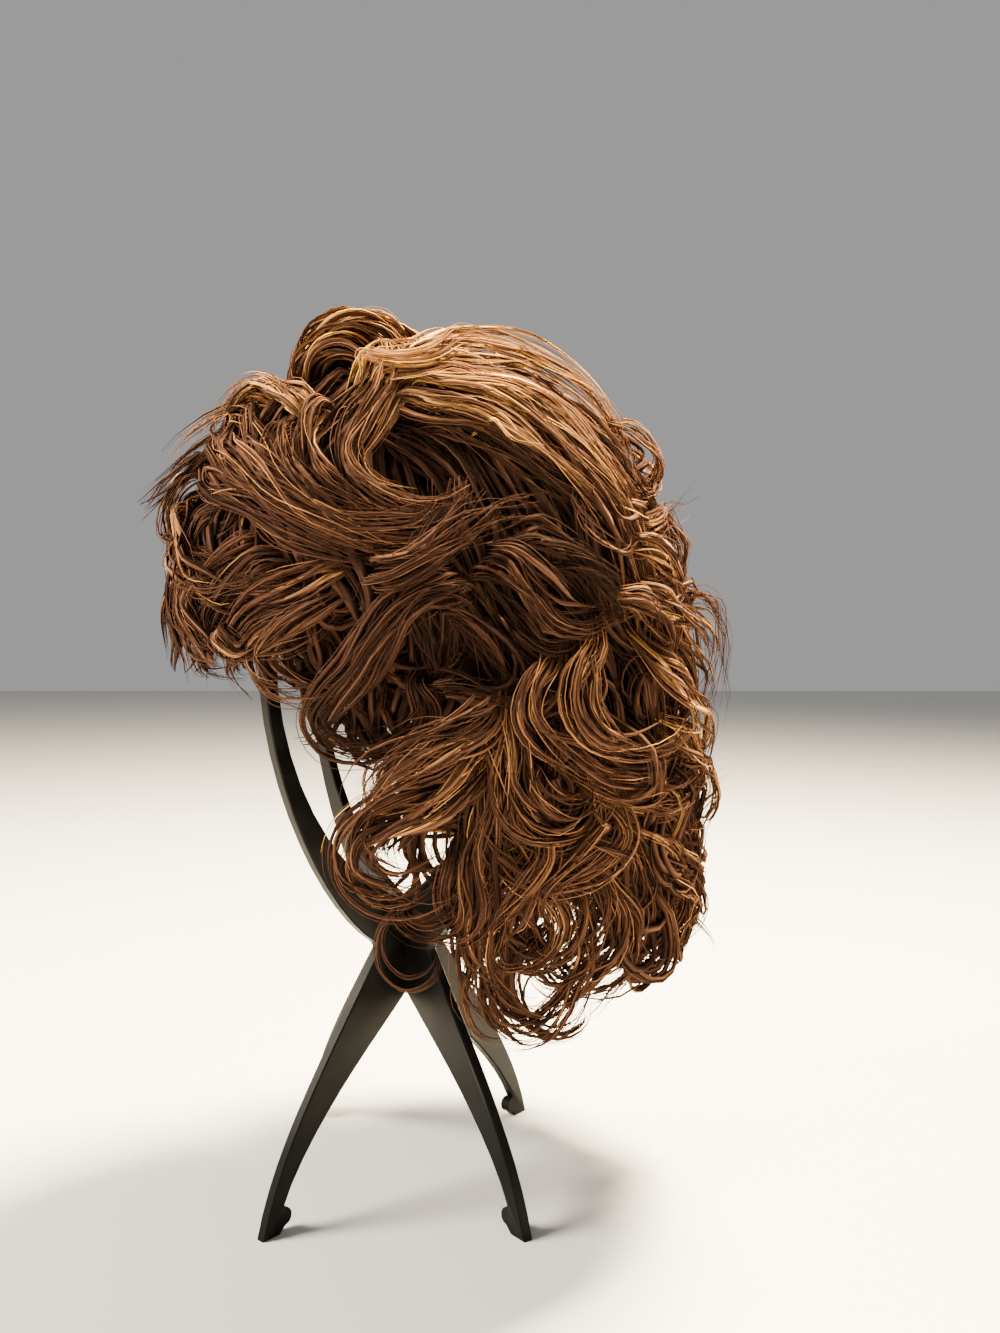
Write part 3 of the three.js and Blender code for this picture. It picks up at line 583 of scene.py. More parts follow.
def curve_through(points, steps=12):
    """A smooth curve through the points, with tangents set by the points on each side."""
    points = np.asarray(points)
    gaps = np.sqrt(np.linalg.norm(np.diff(points, axis=0), axis=1))
    at = np.concatenate([[0], np.cumsum(gaps)])
    slope = np.gradient(points, at, axis=0)
    pieces = []
    for i in range(len(points) - 1):
        t = np.linspace(0, 1, steps, endpoint=i == len(points) - 2)[:, None]
        span = at[i + 1] - at[i]
        pieces.append(
            (2 * t**3 - 3 * t**2 + 1) * points[i]
            + (t**3 - 2 * t**2 + t) * span * slope[i]
            + (3 * t**2 - 2 * t**3) * points[i + 1]
            + (t**3 - t**2) * span * slope[i + 1]
        )
    return np.concatenate(pieces)


def sample(path, at, share):
    return np.stack([np.interp(share, at, path[:, axis]) for axis in range(3)], axis=-1)


def above_cap(points):
    """The points, with any that would sink into the cap moved out of it."""
    sunk = form_ratio(points, LEAST_LIFT) < 1
    return np.where(sunk[..., None], onto_form(points, LEAST_LIFT), points)


def guide_frame(guide, normal):
    """Shares of length, directions across and out of a lock, and how evenly its bends use up its points."""
    step = np.linalg.norm(np.diff(guide, axis=0), axis=1)
    at = np.concatenate([[0], np.cumsum(step)])
    tangent = unit(np.gradient(guide, at, axis=0))
    across = unit(np.cross(normal, tangent))
    outwards = np.cross(tangent, across)
    bend = np.arccos(np.clip(np.sum(tangent[1:] * tangent[:-1], axis=1), -1, 1))
    used = np.concatenate([[0], np.cumsum(step / STRAIGHT_STEP + bend / BEND_STEP)])
    points = int(np.clip(round(used[-1]) + 2, *PATH_POINTS))
    return at / at[-1], across, outwards, used / used[-1], points, at[-1]


def strands_along(guide, normal, row, count, draw):
    """The clumps of a lock side by side along one guide from root to tip, and the strands round each."""
    at, across, outwards, used, points, length = guide_frame(guide, normal)
    half_width = row["width"] / 2 * MM
    ease = min(1, row["width"] / FULL_WIDTH)
    clumps = max(2, round(row["width"] / CLUMP_PITCH))
    home = np.concatenate([np.arange(clumps), draw.integers(0, clumps, count)])
    each = (len(home), 1)
    loose = (np.arange(len(home)) >= clumps)[:, None]

    def per_clump(values):
        return np.asarray(values)[home][:, None]

    end = 1 - END_LOSS * draw.uniform(0, 1, clumps) ** 2
    end = np.clip(per_clump(end) + loose * draw.normal(*END_STRAY, each), LEAST_END, 1)
    start = draw.uniform(0, ROOT_STAGGER, each)
    share = np.interp(start + (end - start) * np.linspace(0, 1, points), used, at)
    swell = taper(share, **LOCK_TAPER)
    spot = np.linspace(-EDGE_SPOT, EDGE_SPOT, clumps) + draw.normal(0, SPOT_SCATTER, clumps)
    layer = LAYER_DEPTH * draw.uniform(-1, 1, clumps) * np.sqrt(np.clip(1 - spot**2, EDGE_DEPTH, 1))
    stray = np.where(draw.uniform(0, 1, each) < FLYAWAY_SHARE, FLYAWAY_STRAY, 1.0) * loose

    def offset(places, wander, scatter):
        drift = per_clump(draw.uniform(*DRIFT_WAVES, clumps)) * share
        drift = drift + per_clump(draw.uniform(0, 1, clumps))
        ripple = draw.uniform(*RIPPLE_WAVES, each) * share + draw.uniform(0, 1, each)
        late = smooth((share - FLICK_START) / (1 - FLICK_START)) ** 2
        flick = per_clump(draw.normal(0, TIP_FLICK * ease, clumps)) * late
        sway = per_clump(draw.normal(0, wander, clumps)) * np.sin(FULL_TURN * drift)
        place = half_width * (per_clump(places) + sway) * swell
        spread = loose * draw.normal(0, 1, each) + RIPPLE_SHARE * stray * np.sin(FULL_TURN * ripple)
        return place + scatter * ease * spread * smooth(share / SCATTER_REACH) + flick

    turn = share * length / WINDING_LENGTH + per_clump(draw.uniform(0, 1, clumps))
    turn = FULL_TURN * (turn + loose * draw.normal(0, WINDING_STRAY, each))
    winding = WINDING[row["group"]] * ease * MM * per_clump(draw.uniform(*WINDING_SIZES, clumps))
    winding = winding * smooth(share / WINDING_REACH)
    sideways = offset(spot, **SIDE_WANDER) + winding * np.sin(turn)
    depth = offset(layer, **DEPTH_WANDER) + winding * np.cos(turn)
    paths = above_cap(
        sample(guide, at, share)
        + sample(across, at, share) * sideways[..., None]
        + sample(outwards, at, share) * depth[..., None]
    )
    strands = dict(
        paths=paths[clumps:],
        radius=STRAND_RADIUS * draw.uniform(*LOCK_STRAND_SIZES, count),
        tone=draw.uniform(*row["tone"], count) + FLYAWAY_TONE * (stray[clumps:, 0] > 1),
    )
    facing = sample(outwards, at, share[:clumps])
    return strands, clump_bodies(paths[:clumps], facing, row["tone"], ease * row["body"], draw)


def clump_bodies(paths, outwards, tone, body, draw):
    """Flat, slowly twisting bodies along the paths, thin at the root and pointed at the tip."""
    count, points, _ = paths.shape
    each = (count, 1, 1)
    share = np.linspace(0, 1, points)
    tangent = unit(np.gradient(paths, axis=1))
    across = unit(np.cross(outwards, tangent))
    lean = draw.uniform(-CLUMP_LEAN, CLUMP_LEAN, each)
    twist = lean + draw.uniform(-CLUMP_TWIST, CLUMP_TWIST, each) * share[None, :, None]
    across = across * np.cos(twist) + np.cross(tangent, across) * np.sin(twist)
    middle = tone[0] + CLUMP_TONE * (tone[1] - tone[0])
    return dict(
        paths=paths,
        across=across,
        outwards=np.cross(tangent, across),
        half_width=body * draw.uniform(*CLUMP_HALF_WIDTH, (count, 1)) * taper(share, **CLUMP_TAPER),
        tone=np.clip(draw.normal(middle, CLUMP_TONE_SCATTER, count), 0, 1),
    )


def far_side(places, draw):
    """The mirror image of a lock, moved a little round the head and up or down."""
    turn = draw.normal(0, FAR_TURN)
    x, y, z = (places + draw.normal(0, FAR_SCATTER, places.shape) - AXIS).T
    moved = np.stack([
        -x * math.cos(turn) - y * math.sin(turn),
        y * math.cos(turn) - x * math.sin(turn),
        z + draw.normal(0, FAR_SHIFT),
    ], axis=-1)
    return AXIS + moved


def lock_strands(row, side, draw):
    """One charted lock, or its mirror image with its own small changes."""
    lift = row["lift"] * MM
    places = np.array([seen_on_form(back, up, lift) for back, up in row["path"]])
    if side == RIGHT:
        places = far_side(places, draw)
    guide = curve_through(places)
    normal = form_normal(guide)
    share = np.linspace(0, 1, len(guide))
    depth, reach = ROOT_DIVES[row["group"]]
    dive = np.maximum(lift - ROOT_LIFT, 0) * depth * (1 - smooth(share / reach))
    count = math.ceil(row["strands"] * SIDE_SHARES[side])
    return strands_along(guide - normal * dive[:, None], normal, row, count, draw)


def roll_strands(row, draw):
    """One barrel of the roll: locks wound over its top towards the forehead and in under it."""
    made = []
    share = np.linspace(0, 1, ROLL_POINTS)
    for x in np.linspace(*row["across"], row["locks"]):
        near_end = (x / ROLL_HALF_LENGTH) ** 4
        up = row["up"] - ROLL_SAG * near_end + draw.normal(0, ROLL_SCATTER)
        centre = AXIS + np.array([x, row["back"] + draw.normal(0, ROLL_SCATTER), up]) * MM
        turns = row["turns"] + draw.uniform(*ROLL_TURN_SPREAD)
        angle = math.radians(row["start"]) + share * FULL_TURN * turns
        reach = taper(share, **BARREL_TAPER) * draw.uniform(*ROLL_SIZES)
        reach = reach * (1 + ROLL_HEAVE * np.sin(ROLL_HEAVE_WAVES * share + draw.uniform(*ROLL_PHASES)))
        reach = reach * (1 - ROLL_END_LOSS * near_end)
        lean = draw.normal(ROLL_SPLAY * x / ROLL_HALF_LENGTH, ROLL_LEAN) * (share - ROLL_LEAN_START)
        lean = lean + ROLL_SWAY * np.sin(ROLL_SWAY_WAVES * share + draw.uniform(*ROLL_PHASES))
        level, upright = np.cos(angle) * row["half_width"], np.sin(angle) * row["half_height"]
        way = np.stack([np.zeros(ROLL_POINTS), level, upright], axis=-1)
        guide = centre + way * reach[:, None] * MM
        guide[:, 0] += lean * MM
        made.append(strands_along(above_cap(guide), unit(way), row, row["strands"], draw))
    return made


def way_down(points, normal):
    """The way the hair falls: away from the whorl over the crown, and straight down below it."""
    low = smooth((HEAD_CENTRE[2] + HANG_START - points[:, 2:]) / HANG_REACH)
    way = unit(points - WHORL) * (1 - low) + np.array([0.0, 0.0, -1.0]) * low
    return unit(way - normal * along(way, normal))


def zone_strands(row, side, draw):
    """Locks that walk over the head form from their roots, each of a few clumps with strands among them."""
    locks, clumps, points = row["locks"], row["clumps"], row["points"]
    each = clumps + row["strands"]
    count = locks * each

    def per_lock(low, high):
        return np.repeat(draw.uniform(low, high, locks), each)[:, None]

    azimuth = np.radians(per_lock(*row["azimuth"])) * side
    polar = np.radians(per_lock(*row["polar"]))
    drop = per_lock(*row["drop"]) * MM
    lift = per_lock(*row["lift"]) * MM
    length = per_lock(*row["length"]) * MM * draw.uniform(*LENGTH_SPREAD, (count, 1))
    heading = np.radians(per_lock(*row["heading"])) + draw.normal(0, HEADING_SCATTER, (count, 1))
    phase = per_lock(0, FULL_TURN) + draw.normal(0, PHASE_SCATTER, (count, 1))
    radius = per_lock(*row["radius"]) * MM * draw.uniform(*RADIUS_SPREAD, (count, 1))
    turns = per_lock(*row["turns"])
    bend = np.where(per_lock(0, 1) < FORWARD_CURLS, -1.0, 1.0)
    wave = math.radians(row["wave"])
    wavelength = row["wavelength"] * MM

    place = HEAD_CENTRE + HEAD_RADII * way_round(polar[:, 0], azimuth[:, 0])
    place[:, 2:] -= drop
    scatter = draw.normal(0, row["spread"] * SPREAD_ACROSS * MM, (count, 3))
    depth = draw.normal(0, row["spread"] * SPREAD_DEPTH * MM, (count, 1))
    scatter[::each] = 0
    depth[::each] = 0
    place = onto_form(place + scatter, ROOT_LIFT)

    walk = [place]
    for k in range(1, points):
        share = k / (points - 1)
        gone = share * length
        waving = FULL_TURN * gone / wavelength
        normal = form_normal(place)
        down = way_down(place, normal)
        curl = np.maximum(gone - (length - turns * FULL_TURN * radius), 0) / radius
        angle = (heading + wave * np.sin(waving + phase) + bend * curl) * side
        way = np.cos(angle) * down + np.sin(angle) * np.cross(normal, down)
        place = place + way * length / (points - 1)
        out = ROOT_LIFT + (lift + depth - ROOT_LIFT) * smooth(share / RISE_REACH)
        out = out + HEAVE * np.sin(waving + 2 * phase) * smooth(share / HEAVE_REACH)
        place = onto_form(place, np.maximum(out, LEAST_LIFT))
        walk.append(place)
    paths = np.stack(walk, axis=1).reshape(locks, each, points, 3)
    gather = GATHER * smooth(np.linspace(-GATHER_DELAY, 1, points))[None, None, :, None]
    paths = above_cap(paths + (paths[:, :1] - paths) * gather)
    bodies = paths[:, :clumps].reshape(-1, points, 3)
    paths = paths[:, clumps:].reshape(-1, points, 3)
    strands = dict(
        paths=paths,
        radius=STRAND_RADIUS * draw.uniform(*ZONE_STRAND_SIZES, len(paths)),
        tone=draw.uniform(*row["tone"], len(paths)),
    )
    return strands, clump_bodies(bodies, form_normal(bodies), row["tone"], row["body"], draw)


# Meshes of many strands


def strand_rings(paths, radius):
    """Corners of a thin tapered tube round each path, with as little twist as the path allows."""
    tangent = unit(np.gradient(paths, axis=1))
    points = paths.shape[1]
    lean = np.where(np.abs(tangent[:, 0, 2:]) < STEEP, [[0.0, 0.0, 1.0]], [[1.0, 0.0, 0.0]])
    first = unit(lean - tangent[:, 0] * along(lean, tangent[:, 0]))
    side = np.empty_like(paths)
    for k in range(points):
        first = unit(first - tangent[:, k] * along(first, tangent[:, k]))
        side[:, k] = first
    other = np.cross(tangent, side)
    size = taper(np.linspace(0, 1, points), **STRAND_TAPER)
    thickness = (radius[:, None] * size)[..., None, None]
    cos, sin = round_corners(STRAND_SIDES)
    return paths[:, :, None] + thickness * (cos * side[:, :, None] + sin * other[:, :, None])


def clump_rings(clump):
    """Corners of the flat body of each clump."""
    cos, sin = round_corners(CLUMP_SIDES)
    wide = cos * clump["across"][:, :, None]
    deep = CLUMP_FLATNESS * sin * clump["outwards"][:, :, None]
    return clump["paths"][:, :, None] + clump["half_width"][..., None, None] * (wide + deep)


def tube_arrays(rings, low, high):
    """Vertices, quads and end faces of closed tubes, and each corner's place on the tone map."""
    count, points, around, _ = rings.shape
    index = np.arange(count * points * around).reshape(count, points, around)
    following = np.roll(index, -1, axis=2)
    quads = np.stack([index[:, :-1], following[:, :-1], following[:, 1:], index[:, 1:]], axis=-1)
    ends = np.concatenate([index[:, 0, ::-1], index[:, -1]])
    share = np.linspace(0, 1, points)[None, :, None]
    turn = np.arange(around + 1)[None, None, :] / around
    v = (low + (high - low) * turn) + 0 * share
    uv = np.stack([share + 0 * v, v], axis=-1)
    quad_uv = np.stack([uv[:, :-1, :-1], uv[:, :-1, 1:], uv[:, 1:, 1:], uv[:, 1:, :-1]], axis=3)
    end_uv = np.concatenate([uv[:, 0, -2::-1], uv[:, -1, :-1]])
    return rings.reshape(-1, 3), quads.reshape(-1, 4), ends, quad_uv.reshape(-1, 2), end_uv.reshape(-1, 2)


def tone_bands(tone, tones, band):
    """The lowest and highest places of each tone's band in half of the tone map."""
    slot = np.minimum((tone * tones).astype(int), tones - 1)[:, None, None]
    return [(slot + edge) / tones / 2 for edge in band]


def strand_arrays(batch):
    low, high = tone_bands(batch["tone"], TONES, STRAND_BAND)
    return tube_arrays(strand_rings(batch["paths"], batch["radius"]), low, high)


def clump_arrays(clump):
    low, high = tone_bands(clump["tone"], CLUMP_TONES, CLUMP_BAND)
    return tube_arrays(clump_rings(clump), UPPER_HALF + low, UPPER_HALF + high)


def make_hair(name, strands, clumps):
    """One mesh of all the strands and clumps of a piece, with the tone map as its UV map."""
    parts = [strand_arrays(batch) for batch in strands] + [clump_arrays(clump) for clump in clumps]
    finish = [0] * len(strands) + [1] * len(clumps)
    base = np.cumsum([0] + [len(part[0]) for part in parts])
    places = np.concatenate([part[0] for part in parts])
    faces = [part[1] + first for part, first in zip(parts, base)]
    faces += [part[2] + first for part, first in zip(parts, base)]
    uv = np.concatenate([part[3] for part in parts] + [part[4] for part in parts])
    sizes = np.concatenate([np.full(len(block), block.shape[1]) for block in faces])
    finishes = np.concatenate([np.full(len(block), kind) for block, kind in zip(faces, finish * 2)])
    corners = np.concatenate([block.ravel() for block in faces])
    mesh = bpy.data.meshes.new(name)
    mesh.vertices.add(len(places))
    mesh.vertices.foreach_set("co", places.astype(np.float32).ravel())
    mesh.loops.add(len(corners))
    mesh.loops.foreach_set("vertex_index", corners.astype(np.int32))
    mesh.polygons.add(len(sizes))
    mesh.polygons.foreach_set("loop_start", (np.cumsum(sizes) - sizes).astype(np.int32))
    mesh.polygons.foreach_set("material_index", finishes.astype(np.int32))
    mesh.uv_layers.new(name="OFBake").data.foreach_set("uv", uv.astype(np.float32).ravel())
    mesh.update(calc_edges=True)
    mesh.polygons.foreach_set("use_smooth", np.ones(len(sizes), dtype=bool))
    return add_to_scene(name, mesh)


def piece_for(group, side):
    if group in SPLIT_GROUPS:
        return f"{'left' if side == LEFT else 'right'}_{group}_strands"
    return f"{group}_strands"


def grow_hair():
    grown = {name: [] for name in HAIR_PIECES}
    for first, rows, strands_of in ((0, LOCKS, lock_strands), (ZONE_SEEDS, ZONES.values(), zone_strands)):
        for number, row in enumerate(rows, first):
            for side in (LEFT, RIGHT):
                draw = np.random.default_rng([SEED, number, side + 1])
                grown[piece_for(row["group"], side)].append(strands_of(row, side, draw))
    for number, row in enumerate(ROLLS, ROLL_SEEDS):
        grown["front_roll_strands"] += roll_strands(row, np.random.default_rng([SEED, number]))
    return {name: make_hair(name, *zip(*pairs)) for name, pairs in grown.items()}


# The cap. Its rim stands at these heights, in millimetres, at these degrees round from the forehead.

CAP_NODES = ["cap_crown"] + [f"cap_panel_{number}" for number in range(1, 9)]
CAP_WALL = 1.5 * MM
CAP_SEGMENTS = 72
CAP_RINGS = 48
CAP_RIM_ANGLES = [0, 40, 75, 95, 115, 150, 180]
CAP_RIM_HEIGHTS = [246, 241, 229, 212, 214, 196, 188]
CAP_SKIRT_START = 0.8
CAP_SMOOTH_ANGLE = math.radians(40)


def make_cap():
    bpy.ops.object.select_all(action="DESELECT")
    bpy.ops.mesh.primitive_uv_sphere_add(segments=CAP_SEGMENTS, ring_count=CAP_RINGS, radius=1)
    cap = bpy.context.object
    cap.name = cap.data.name = "wig_cap"
    bpy.ops.object.mode_set(mode="EDIT")
    bpy.ops.mesh.select_all(action="SELECT")
    bpy.ops.mesh.bisect(plane_co=(0, 0, 0), plane_no=(0, 0, -1), clear_outer=True)
    bpy.ops.object.mode_set(mode="OBJECT")
    place = np.empty(len(cap.data.vertices) * 3)
    cap.data.vertices.foreach_get("co", place)
    place = place.reshape(-1, 3)
    azimuth = np.arctan2(place[:, 0], -place[:, 1])
    share = np.arccos(np.clip(place[:, 2], -1, 1)) / (math.pi / 2)
    rim = np.interp(np.degrees(np.abs(azimuth)), CAP_RIM_ANGLES, CAP_RIM_HEIGHTS) * MM
    above = np.clip((rim - HEAD_CENTRE[2]) / HEAD_RADII[2], 0, 1)
    polar = share * np.arccos(above)
    lowered = np.clip(share - CAP_SKIRT_START, 0, 1) / (1 - CAP_SKIRT_START)
    place = HEAD_CENTRE + way_round(polar, azimuth) * (HEAD_RADII + CAP_WALL / 2)
    place[:, 2] -= np.maximum(HEAD_CENTRE[2] - rim, 0) * lowered
    cap.data.vertices.foreach_set("co", place.ravel())
    wall = cap.modifiers.new("wall", "SOLIDIFY")
    wall.thickness = CAP_WALL
    wall.offset = 0
    select_only(cap)
    bpy.ops.object.modifier_apply(modifier=wall.name)
    bpy.ops.object.shade_smooth_by_angle(angle=CAP_SMOOTH_ANGLE)
    return cap


# The stand

FRAMES = {"outer_frame": "stand_frame_outer", "inner_frame": "stand_frame_inner"}
WELD_GAP = 0.01 * MM
FLAT_ANGLE = math.radians(0.5)
FRAME_SMOOTH_ANGLE = math.radians(32)


def make_frame(name, node):
    piece = add_to_scene(name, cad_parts[node].data.copy())
    piece.data.materials.clear()
    select_only(piece)
    bpy.ops.object.mode_set(mode="EDIT")
    bpy.ops.mesh.select_all(action="SELECT")
    bpy.ops.mesh.remove_doubles(threshold=WELD_GAP)
    bpy.ops.mesh.dissolve_limited(angle_limit=FLAT_ANGLE)
    bpy.ops.object.mode_set(mode="OBJECT")
    bpy.ops.object.shade_smooth_by_angle(angle=FRAME_SMOOTH_ANGLE)
    return piece


# Nodes that the finishes are made of


def new_material(name):
    material = bpy.data.materials.new(name)
    material.use_nodes = True
    return material, material.node_tree, material.node_tree.nodes["Principled BSDF"]


def feed(tree, socket, value):
    """Sets a number on a socket, or links another node's output to it."""
    if isinstance(value, (int, float)):
        socket.default_value = value
    else:
        tree.links.new(value, socket)


def math_node(tree, operation, *values):
    node = tree.nodes.new("ShaderNodeMath")
    node.operation = operation
    for socket, value in zip(node.inputs, values):
        feed(tree, socket, value)
    return node.outputs[0]


def map_range(tree, value, source, target):
    node = tree.nodes.new("ShaderNodeMapRange")
    feed(tree, node.inputs["Value"], value)
    for name, number in zip(("From Min", "From Max", "To Min", "To Max"), (*source, *target)):
        node.inputs[name].default_value = number
    return node.outputs[0]


def place_at(tree, *values):
    node = tree.nodes.new("ShaderNodeCombineXYZ")
    for socket, value in zip(node.inputs, values):
        feed(tree, socket, value)
    return node.outputs[0]


def noise(tree, place, size, detail=2, roughness=0.5):
    node = tree.nodes.new("ShaderNodeTexNoise")
    for name, value in dict(Vector=place, Scale=size, Detail=detail, Roughness=roughness).items():
        feed(tree, node.inputs[name], value)
    return node.outputs["Fac"]


def ramp(tree, value, stops):
    node = tree.nodes.new("ShaderNodeValToRGB")
    elements = node.color_ramp.elements
    while len(elements) < len(stops):
        elements.new(0.5)
    for element, (at, colour) in zip(elements, stops):
        element.position = at
        element.color = (*colour, 1)
    feed(tree, node.inputs["Fac"], value)
    return node.outputs["Color"]


def scale_colour(tree, colour, factor):
    node = tree.nodes.new("ShaderNodeVectorMath")
    node.operation = "SCALE"
    feed(tree, node.inputs[0], colour)
    feed(tree, node.inputs["Scale"], factor)
    return node.outputs[0]


def add_bump(tree, shader, height, distance, strength):
    bump = tree.nodes.new("ShaderNodeBump")
    for name, value in dict(Distance=distance, Strength=strength, Height=height).items():
        feed(tree, bump.inputs[name], value)
    feed(tree, shader.inputs["Normal"], bump.outputs["Normal"])


def object_places(tree):
    return tree.nodes.new("ShaderNodeTexCoord").outputs["Object"]


def new_group(name, inputs, outputs):
    """An empty node group with its named sockets, and those sockets as seen from inside it."""
    group = bpy.data.node_groups.new(name, "ShaderNodeTree")
    for in_out, sockets in (("INPUT", inputs), ("OUTPUT", outputs)):
        for socket, kind in sockets.items():
            group.interface.new_socket(socket, in_out=in_out, socket_type=f"NodeSocket{kind}")
    return group, group.nodes.new("NodeGroupInput").outputs, group.nodes.new("NodeGroupOutput").inputs


def place_group(tree, group, **values):
    node = tree.nodes.new("ShaderNodeGroup")
    node.node_tree = group
    for name, value in values.items():
        feed(tree, node.inputs[name], value)
    return node.outputs


# Finishes

NOISE_SPAN = (0.3, 0.7)

# The scale of the broad patches, as a share of the grain's
PATCH_SHARE = 0.04


def fine_grain_group():
    """Small-scale unevenness and broad patches, from 0 to 1."""
    group, inside, outside = new_group("fine_grain", dict(Vector="Vector", Size="Float"),
                                       dict(Grain="Float", Patches="Float"))
    patch_size = math_node(group, "MULTIPLY", inside["Size"], PATCH_SHARE)
    feed(group, outside["Grain"], noise(group, inside["Vector"], inside["Size"], detail=4))
    feed(group, outside["Patches"], noise(group, inside["Vector"], patch_size, detail=3))
    return group


# Colours of the hair from dark brown to gold. Along a strand its tone shifts from lighter to darker.
HAIR_COLOURS = [
    (0.0, (0.0200, 0.0115, 0.0082)),
    (0.3, (0.039, 0.0188, 0.0126)),
    (0.6, (0.096, 0.0445, 0.0262)),
    (0.82, (0.295, 0.138, 0.053)),
    (1.0, (0.920, 0.500, 0.085)),
]
TIP_SPAN = (0.35, 1)
TIP_SHIFT = (0.03, -0.1)
HAIR_SHINE = 0.0


def hair_tone_group():
    """The colour of hair of one tone, along its length from root to tip, times streaks and painted shade."""
    group, inside, outside = new_group("hair_tone", dict(Tone="Float", Length="Float", Shade="Float"),
                                       dict(Colour="Color"))
    tip = map_range(group, inside["Length"], TIP_SPAN, TIP_SHIFT)
    colour = ramp(group, math_node(group, "ADD", inside["Tone"], tip), HAIR_COLOURS)
    feed(group, outside["Colour"], scale_colour(group, colour, inside["Shade"]))
    return group


def hair_map(tree):
    """The tone map's two ways: along a strand from root to tip, and up through the tones."""
    uv = tree.nodes.new("ShaderNodeUVMap")
    uv.uv_map = "OFBake"
    split = tree.nodes.new("ShaderNodeSeparateXYZ")
    feed(tree, split.inputs[0], uv.outputs["UV"])
    return split.outputs["X"], split.outputs["Y"]


# Fibres drawn on a clump: how they drift round it, how many there are round it and how often they change
# along it, and how far their tones, the painted shade at the root, where it lies under the hair above, and
# the painted shade in the gaps between them go

CLUMP_DRIFT_SIZE = 5
CLUMP_DRIFT = 0.12
CLUMP_FIBRES = 8
CLUMP_STREAKS = 2.5
CLUMP_TONE_GAP = 5.3
CLUMP_FIBRE_ROUGHNESS = 0.65
CLUMP_TONE_SHIFT = (-0.34, 0.34)
CLUMP_ROOT_PAINTED_SHADE = dict(source=(0, 0.3), target=(0.5, 1))
CLUMP_GAP_PAINTED_SHADE = dict(source=(0.40, 0.52), target=(0.42, 1))
CLUMP_ROUGHNESS = (0.52, 0.38)
CLUMP_BUMP = dict(distance=0.5 * MM, strength=0.8)


def hair_clump(tone_group):
    """The body of a clump: many fibres side by side, running with its length."""
    material, tree, shader = new_material("hair_clump")
    length, height = hair_map(tree)
    scaled = map_range(tree, height, (UPPER_HALF, 1), (0, CLUMP_TONES))
    clump = math_node(tree, "FLOOR", scaled)
    around = math_node(tree, "FRACT", scaled)
    drift = noise(tree, place_at(tree, length, clump), CLUMP_DRIFT_SIZE)
    bent = math_node(tree, "ADD", around, math_node(tree, "MULTIPLY", drift, CLUMP_DRIFT))
    spot = place_at(
        tree,
        math_node(tree, "MULTIPLY", bent, CLUMP_FIBRES),
        math_node(tree, "MULTIPLY", length, CLUMP_STREAKS),
        math_node(tree, "MULTIPLY", clump, CLUMP_TONE_GAP),
    )
    fibres = noise(tree, spot, size=1, detail=3, roughness=CLUMP_FIBRE_ROUGHNESS)
    shift = map_range(tree, fibres, NOISE_SPAN, CLUMP_TONE_SHIFT)
    tone = math_node(tree, "ADD", math_node(tree, "DIVIDE", clump, CLUMP_TONES), shift)
    # Painted shade: the clump is darker at its root, under the hair above, and in the gaps between its
    # fibres.
    root = map_range(tree, length, **CLUMP_ROOT_PAINTED_SHADE)
    gaps = map_range(tree, fibres, **CLUMP_GAP_PAINTED_SHADE)
    shade = math_node(tree, "MULTIPLY", root, gaps)
    hair = place_group(tree, tone_group, Tone=tone, Length=length, Shade=shade)
    feed(tree, shader.inputs["Base Color"], hair["Colour"])
    feed(tree, shader.inputs["Roughness"], map_range(tree, fibres, NOISE_SPAN, CLUMP_ROUGHNESS))
    shader.inputs["Specular IOR Level"].default_value = HAIR_SHINE
    add_bump(tree, shader, fibres, **CLUMP_BUMP)
    return material


# Streaks along a single fibre, and how far its tone and the painted shade at its root go

FIBRE_TONE_SHIFT = (-0.12, 0.12)
FIBRE_STREAKS = 9
FIBRE_TONE_GAP = 3.7
FIBRE_STREAK_SHADE = (0.75, 1.25)
FIBRE_ROOT_PAINTED_SHADE = dict(source=(0, 0.22), target=(0.65, 1))
FIBRE_ROUGHNESS = (0.40, 0.26)


def hair_fibre(tone_group):
    """Mixed brown and golden fibres: the map's height picks the fibre, its length runs from root to tip."""
    material, tree, shader = new_material("hair_fibre")
    length, low_half = hair_map(tree)
    height = math_node(tree, "DIVIDE", low_half, UPPER_HALF)
    fibre = math_node(tree, "FLOOR", math_node(tree, "MULTIPLY", height, TONES))
    chance = tree.nodes.new("ShaderNodeTexWhiteNoise")
    chance.noise_dimensions = "1D"
    feed(tree, chance.inputs["W"], fibre)
    shift = map_range(tree, chance.outputs["Value"], (0, 1), FIBRE_TONE_SHIFT)
    tone = math_node(tree, "ADD", height, shift)
    spot = place_at(
        tree,
        math_node(tree, "MULTIPLY", length, FIBRE_STREAKS),
        math_node(tree, "MULTIPLY", fibre, FIBRE_TONE_GAP),
    )
    streak = noise(tree, spot, size=1, detail=3)
    streaks = map_range(tree, streak, NOISE_SPAN, FIBRE_STREAK_SHADE)
    # The streaks are the fibre's own tones; the darkening at the root, under the hair above, is painted
    # shade.
    shade = math_node(tree, "MULTIPLY", streaks, map_range(tree, length, **FIBRE_ROOT_PAINTED_SHADE))
    hair = place_group(tree, tone_group, Tone=tone, Length=length, Shade=shade)
    feed(tree, shader.inputs["Base Color"], hair["Colour"])
    feed(tree, shader.inputs["Roughness"], map_range(tree, streak, NOISE_SPAN, FIBRE_ROUGHNESS))
    shader.inputs["Specular IOR Level"].default_value = HAIR_SHINE
    return material


# The cap's knit: the scales of its grain, rows and loops, and how high the loops stand on the rows

